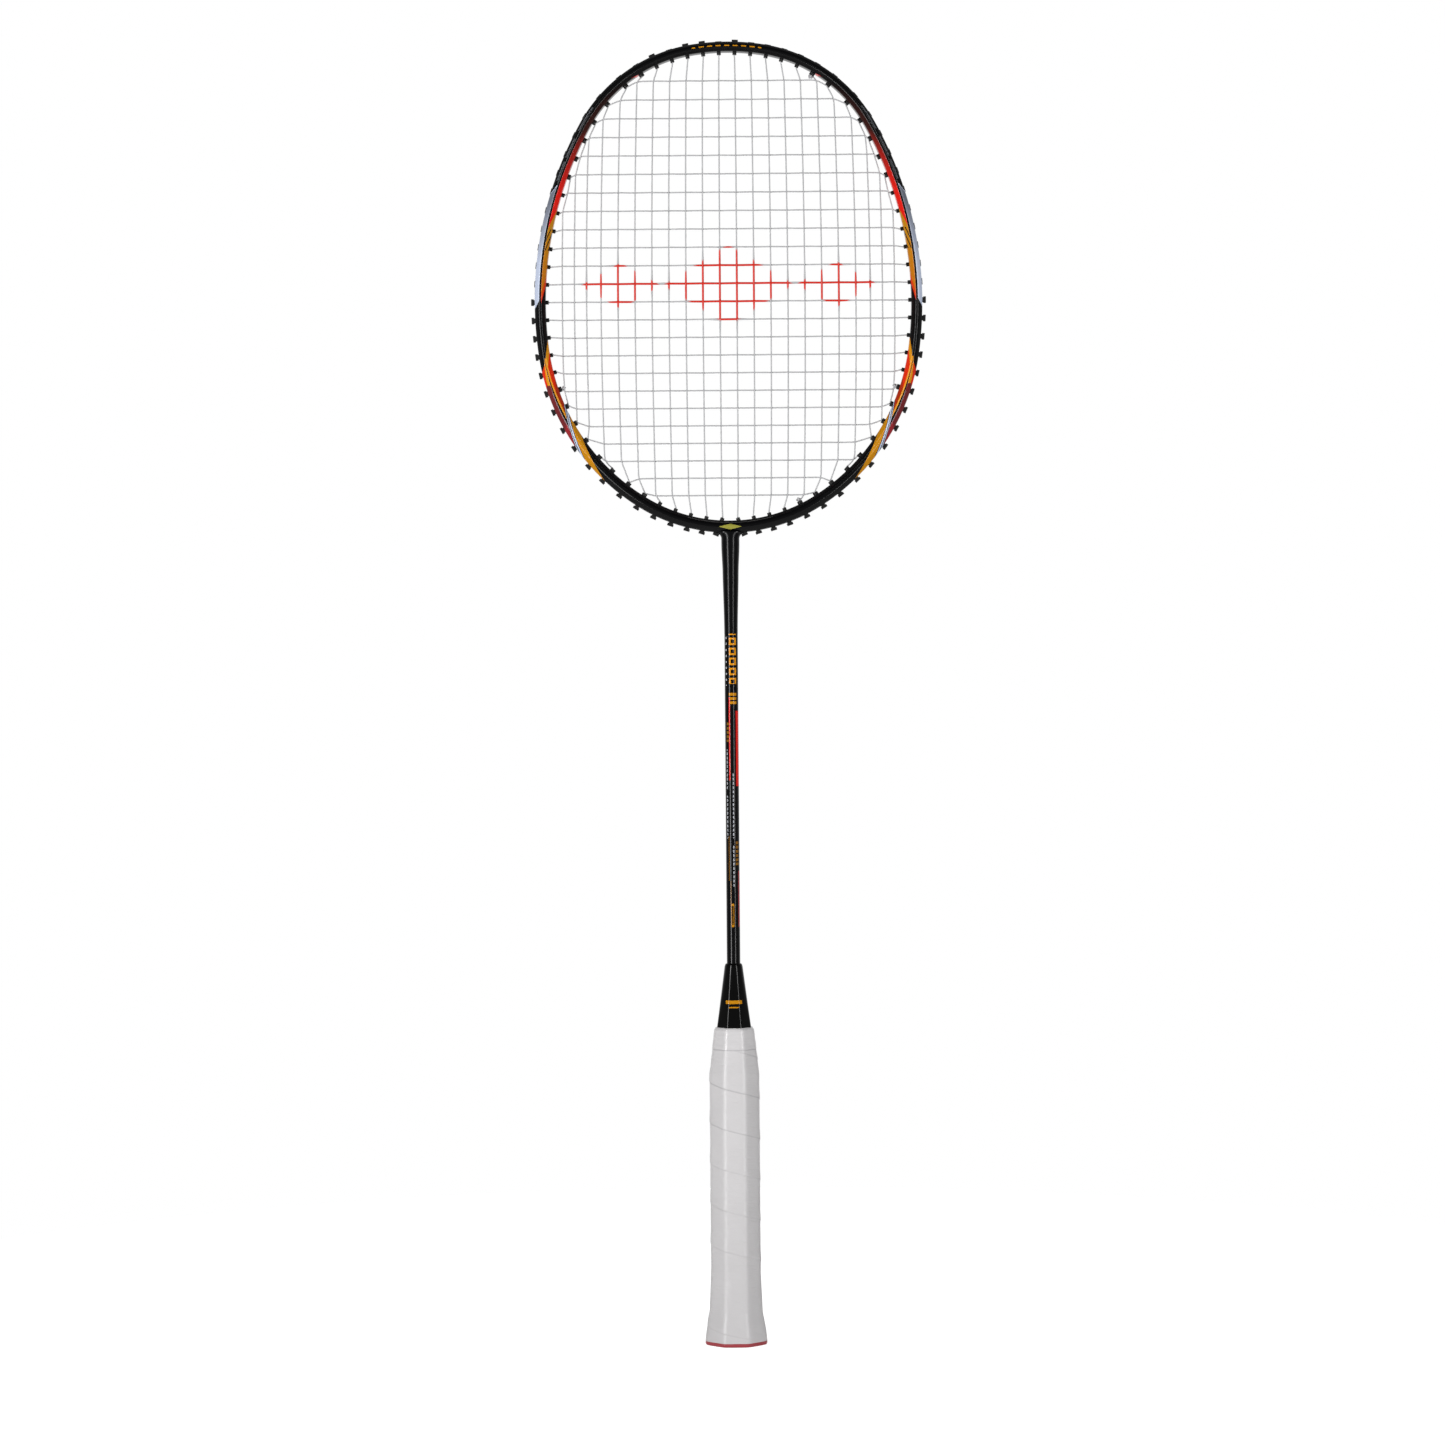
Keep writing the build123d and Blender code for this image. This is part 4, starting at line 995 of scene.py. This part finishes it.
main_ends = [(-1, MAIN_TIE, PAIR_OFFSET), (1, MAIN_TIE, PAIR_OFFSET)]
cross_ends = [(1, CROSS_START, -PAIR_OFFSET), (1, CROSS_END, -PAIR_OFFSET)]
for name, node, places in (("main_string_hitches", "main_string_knots", main_ends),
                           ("cross_string_hitches", "cross_string_knots", cross_ends)):
    hitches = [knot_shell(*place) for place in places]
    unbraided = np.zeros(sum(len(points) for points, _ in hitches))
    make_piece(name, hitches, nylon_string, "string_nylon", [node], along=unbraided, around=unbraided)

# %% [markdown]
# ## Finishes of the carried CAD pieces
#
# The grommets and the pieces hidden inside keep their CAD shapes. Each still gets the finish of its real
# material, since anyone may take the racket apart.

# %% Grommets and inner pieces
def grained(name, dark, light, scale, depth_mm, stretch=(1, 1, 1), **sockets):
    """A finish whose colour and bump share one noise: scale is in grains per millimetre."""
    material, tree, shader = new_material(name, **sockets)
    spread = add(tree, "ShaderNodeMapping", {0: millimetres(tree)[0], "Scale": stretch}).outputs[0]
    grain = add(tree, "ShaderNodeTexNoise", {"Vector": spread, "Scale": scale, "Detail": 4.0}).outputs["Fac"]
    tree.links.new(paint_over(tree, linear(dark), linear(light), grain), shader.inputs["Base Color"])
    surface_relief(tree, shader, grain, depth_mm, 0.5)
    return material


carried = {
    # Nylon 6, moulded: dense black with a soft satin.
    "moulded_nylon": (grained("moulded_nylon", "#040404", "#0C0C0C", 2.0, 0.02,
                              Roughness=0.45, Specular_IOR_Level=0.3),
                      [node for node in nodes if node.endswith("grommets")]),
    # Epoxy filled with glass, as moulded: dark grey and half matt.
    "filled_epoxy": (grained("filled_epoxy", "#232323", "#3A3938", 1.0, 0.05, Roughness=0.5), ["t_joint"]),
    # Lime wood, planed: pale, with long grain up the handle.
    "planed_wood": (grained("planed_wood", "#B98F5C", "#DDBB8A", 1.2, 0.05, (1, 1, 0.06), Roughness=0.6),
                    ["handle_core"]),
    # Paper-backed adhesive strip: off-white and matt.
    "adhesive_strip": (grained("adhesive_strip", "#CFC8B8", "#DED9CC", 0.8, 0.03, Roughness=0.7),
                       ["grip_backing_tape"]),
    # Drawn steel wire: bright, with a lengthwise grain.
    "drawn_steel": (grained("drawn_steel", "#9A9A9A", "#B8B8B8", 3.0, 0.01, Metallic=1.0, Roughness=0.3),
                    ["grip_staple"])}
for material, wearers in carried.values():
    for node in wearers:
        nodes[node].data.materials.clear()
        nodes[node].data.materials.append(material)
    print(material.name, "on", ", ".join(wearers))

# %% [markdown]
# ## Studio
#
# The racket stands upright on a plain white card. Two tall soft boxes in front, the left one broader, draw
# the long highlights down the shaft and the cone. The sky is white behind the racket and dim in front of it
# and overhead, because a gloss black piece is only as deep as what it mirrors.

# %% Floor, sky and lights
def make_floor():
    """A round matt white card, bright enough to melt into the sky, and small enough that the black pieces
    mirror the dim sky in front of it and not the card."""
    a, radius = np.linspace(0, 2 * np.pi, 96, endpoint=False), 0.6
    points = np.stack([radius * np.cos(a), radius * np.sin(a), 0 * a], -1)
    mesh = bpy.data.meshes.new("floor")
    mesh.from_pydata(points.tolist(), [], [list(range(96))])
    material, tree, shader = new_material("white_card", Roughness=0.9, Base_Color=linear("#F4F4F4"))
    shader.inputs["Emission Color"].default_value = (1, 1, 1, 1)
    seen = add(tree, "ShaderNodeLightPath").outputs["Is Camera Ray"]
    glow = add(tree, "ShaderNodeMapRange", {0: seen, 3: 0.15, 4: 0.8}).outputs[0]
    tree.links.new(glow, shader.inputs["Emission Strength"])
    mesh.materials.append(material)
    floor = bpy.data.objects.new("floor", mesh)
    bpy.context.scene.collection.objects.link(floor)


def make_sky():
    """White behind the racket, dim in front of it and overhead: strength rises with the direction's Y from
    0.22 to 1, and falls to a third as its Z goes from 0.1 to 0.7."""
    world = bpy.data.worlds.new("studio")
    bpy.context.scene.world = world
    world.use_nodes = True
    tree = world.node_tree
    direction = add(tree, "ShaderNodeTexCoord").outputs["Generated"]
    _, y, z = add(tree, "ShaderNodeSeparateXYZ", {0: direction}).outputs
    lit = add(tree, "ShaderNodeMapRange", {0: y, 1: 0.1, 2: 0.8, 3: 0.22, 4: 1.0}).outputs[0]
    overhead = add(tree, "ShaderNodeMapRange", {0: z, 1: 0.1, 2: 0.7, 3: 1.0, 4: 0.35}).outputs[0]
    lit = add(tree, "ShaderNodeMath", {0: lit, 1: overhead}, operation="MULTIPLY").outputs[0]
    seen = add(tree, "ShaderNodeLightPath").outputs["Is Camera Ray"]
    strength = add(tree, "ShaderNodeMath", {0: lit, 1: seen}, operation="MAXIMUM").outputs[0]
    tree.links.new(strength, tree.nodes["Background"].inputs["Strength"])
    tree.nodes["Background"].inputs["Color"].default_value = (1, 1, 1, 1)


def add_soft_box(name, azimuth, distance, width, height, watts):
    """An upright area light at an azimuth from the front, positive to the right, facing the racket."""
    light = bpy.data.lights.new(name, "AREA")
    light.shape, light.size, light.size_y, light.energy = "RECTANGLE", width, height, watts
    lamp = bpy.data.objects.new(name, light)
    turn = np.radians(azimuth)
    lamp.location = (distance * np.sin(turn), -distance * np.cos(turn), 0.42)
    lamp.rotation_euler = (np.pi / 2, 0, turn)
    bpy.context.scene.collection.objects.link(lamp)


make_floor()
make_sky()
add_soft_box("broad_soft_box", -36, 1.5, 0.22, 1.9, 24)
add_soft_box("narrow_soft_box", 37, 1.5, 0.12, 1.9, 14)


# %% [markdown]
# ## Camera
#
# The lens is a short telephoto 1.8 m away at the racket's mid height, so the racket is seen square on from
# the front. The camera is rolled by under half a degree, so the racket leans a little.

# %% Camera
DISTANCE, AIM_HEIGHT, LEAN = 1.8, 0.322, 0.44            # metres, metres, degrees
camera_data = bpy.data.cameras.new("camera")
camera_data.lens, camera_data.sensor_width = 86.4, 36.0
camera = bpy.data.objects.new("camera", camera_data)
camera.location = (-0.0048, -DISTANCE, AIM_HEIGHT)
camera.rotation_euler = (np.pi / 2, np.radians(LEAN), 0)
bpy.context.scene.collection.objects.link(camera)
bpy.context.scene.camera = camera
bpy.context.scene.view_settings.view_transform = "Standard"
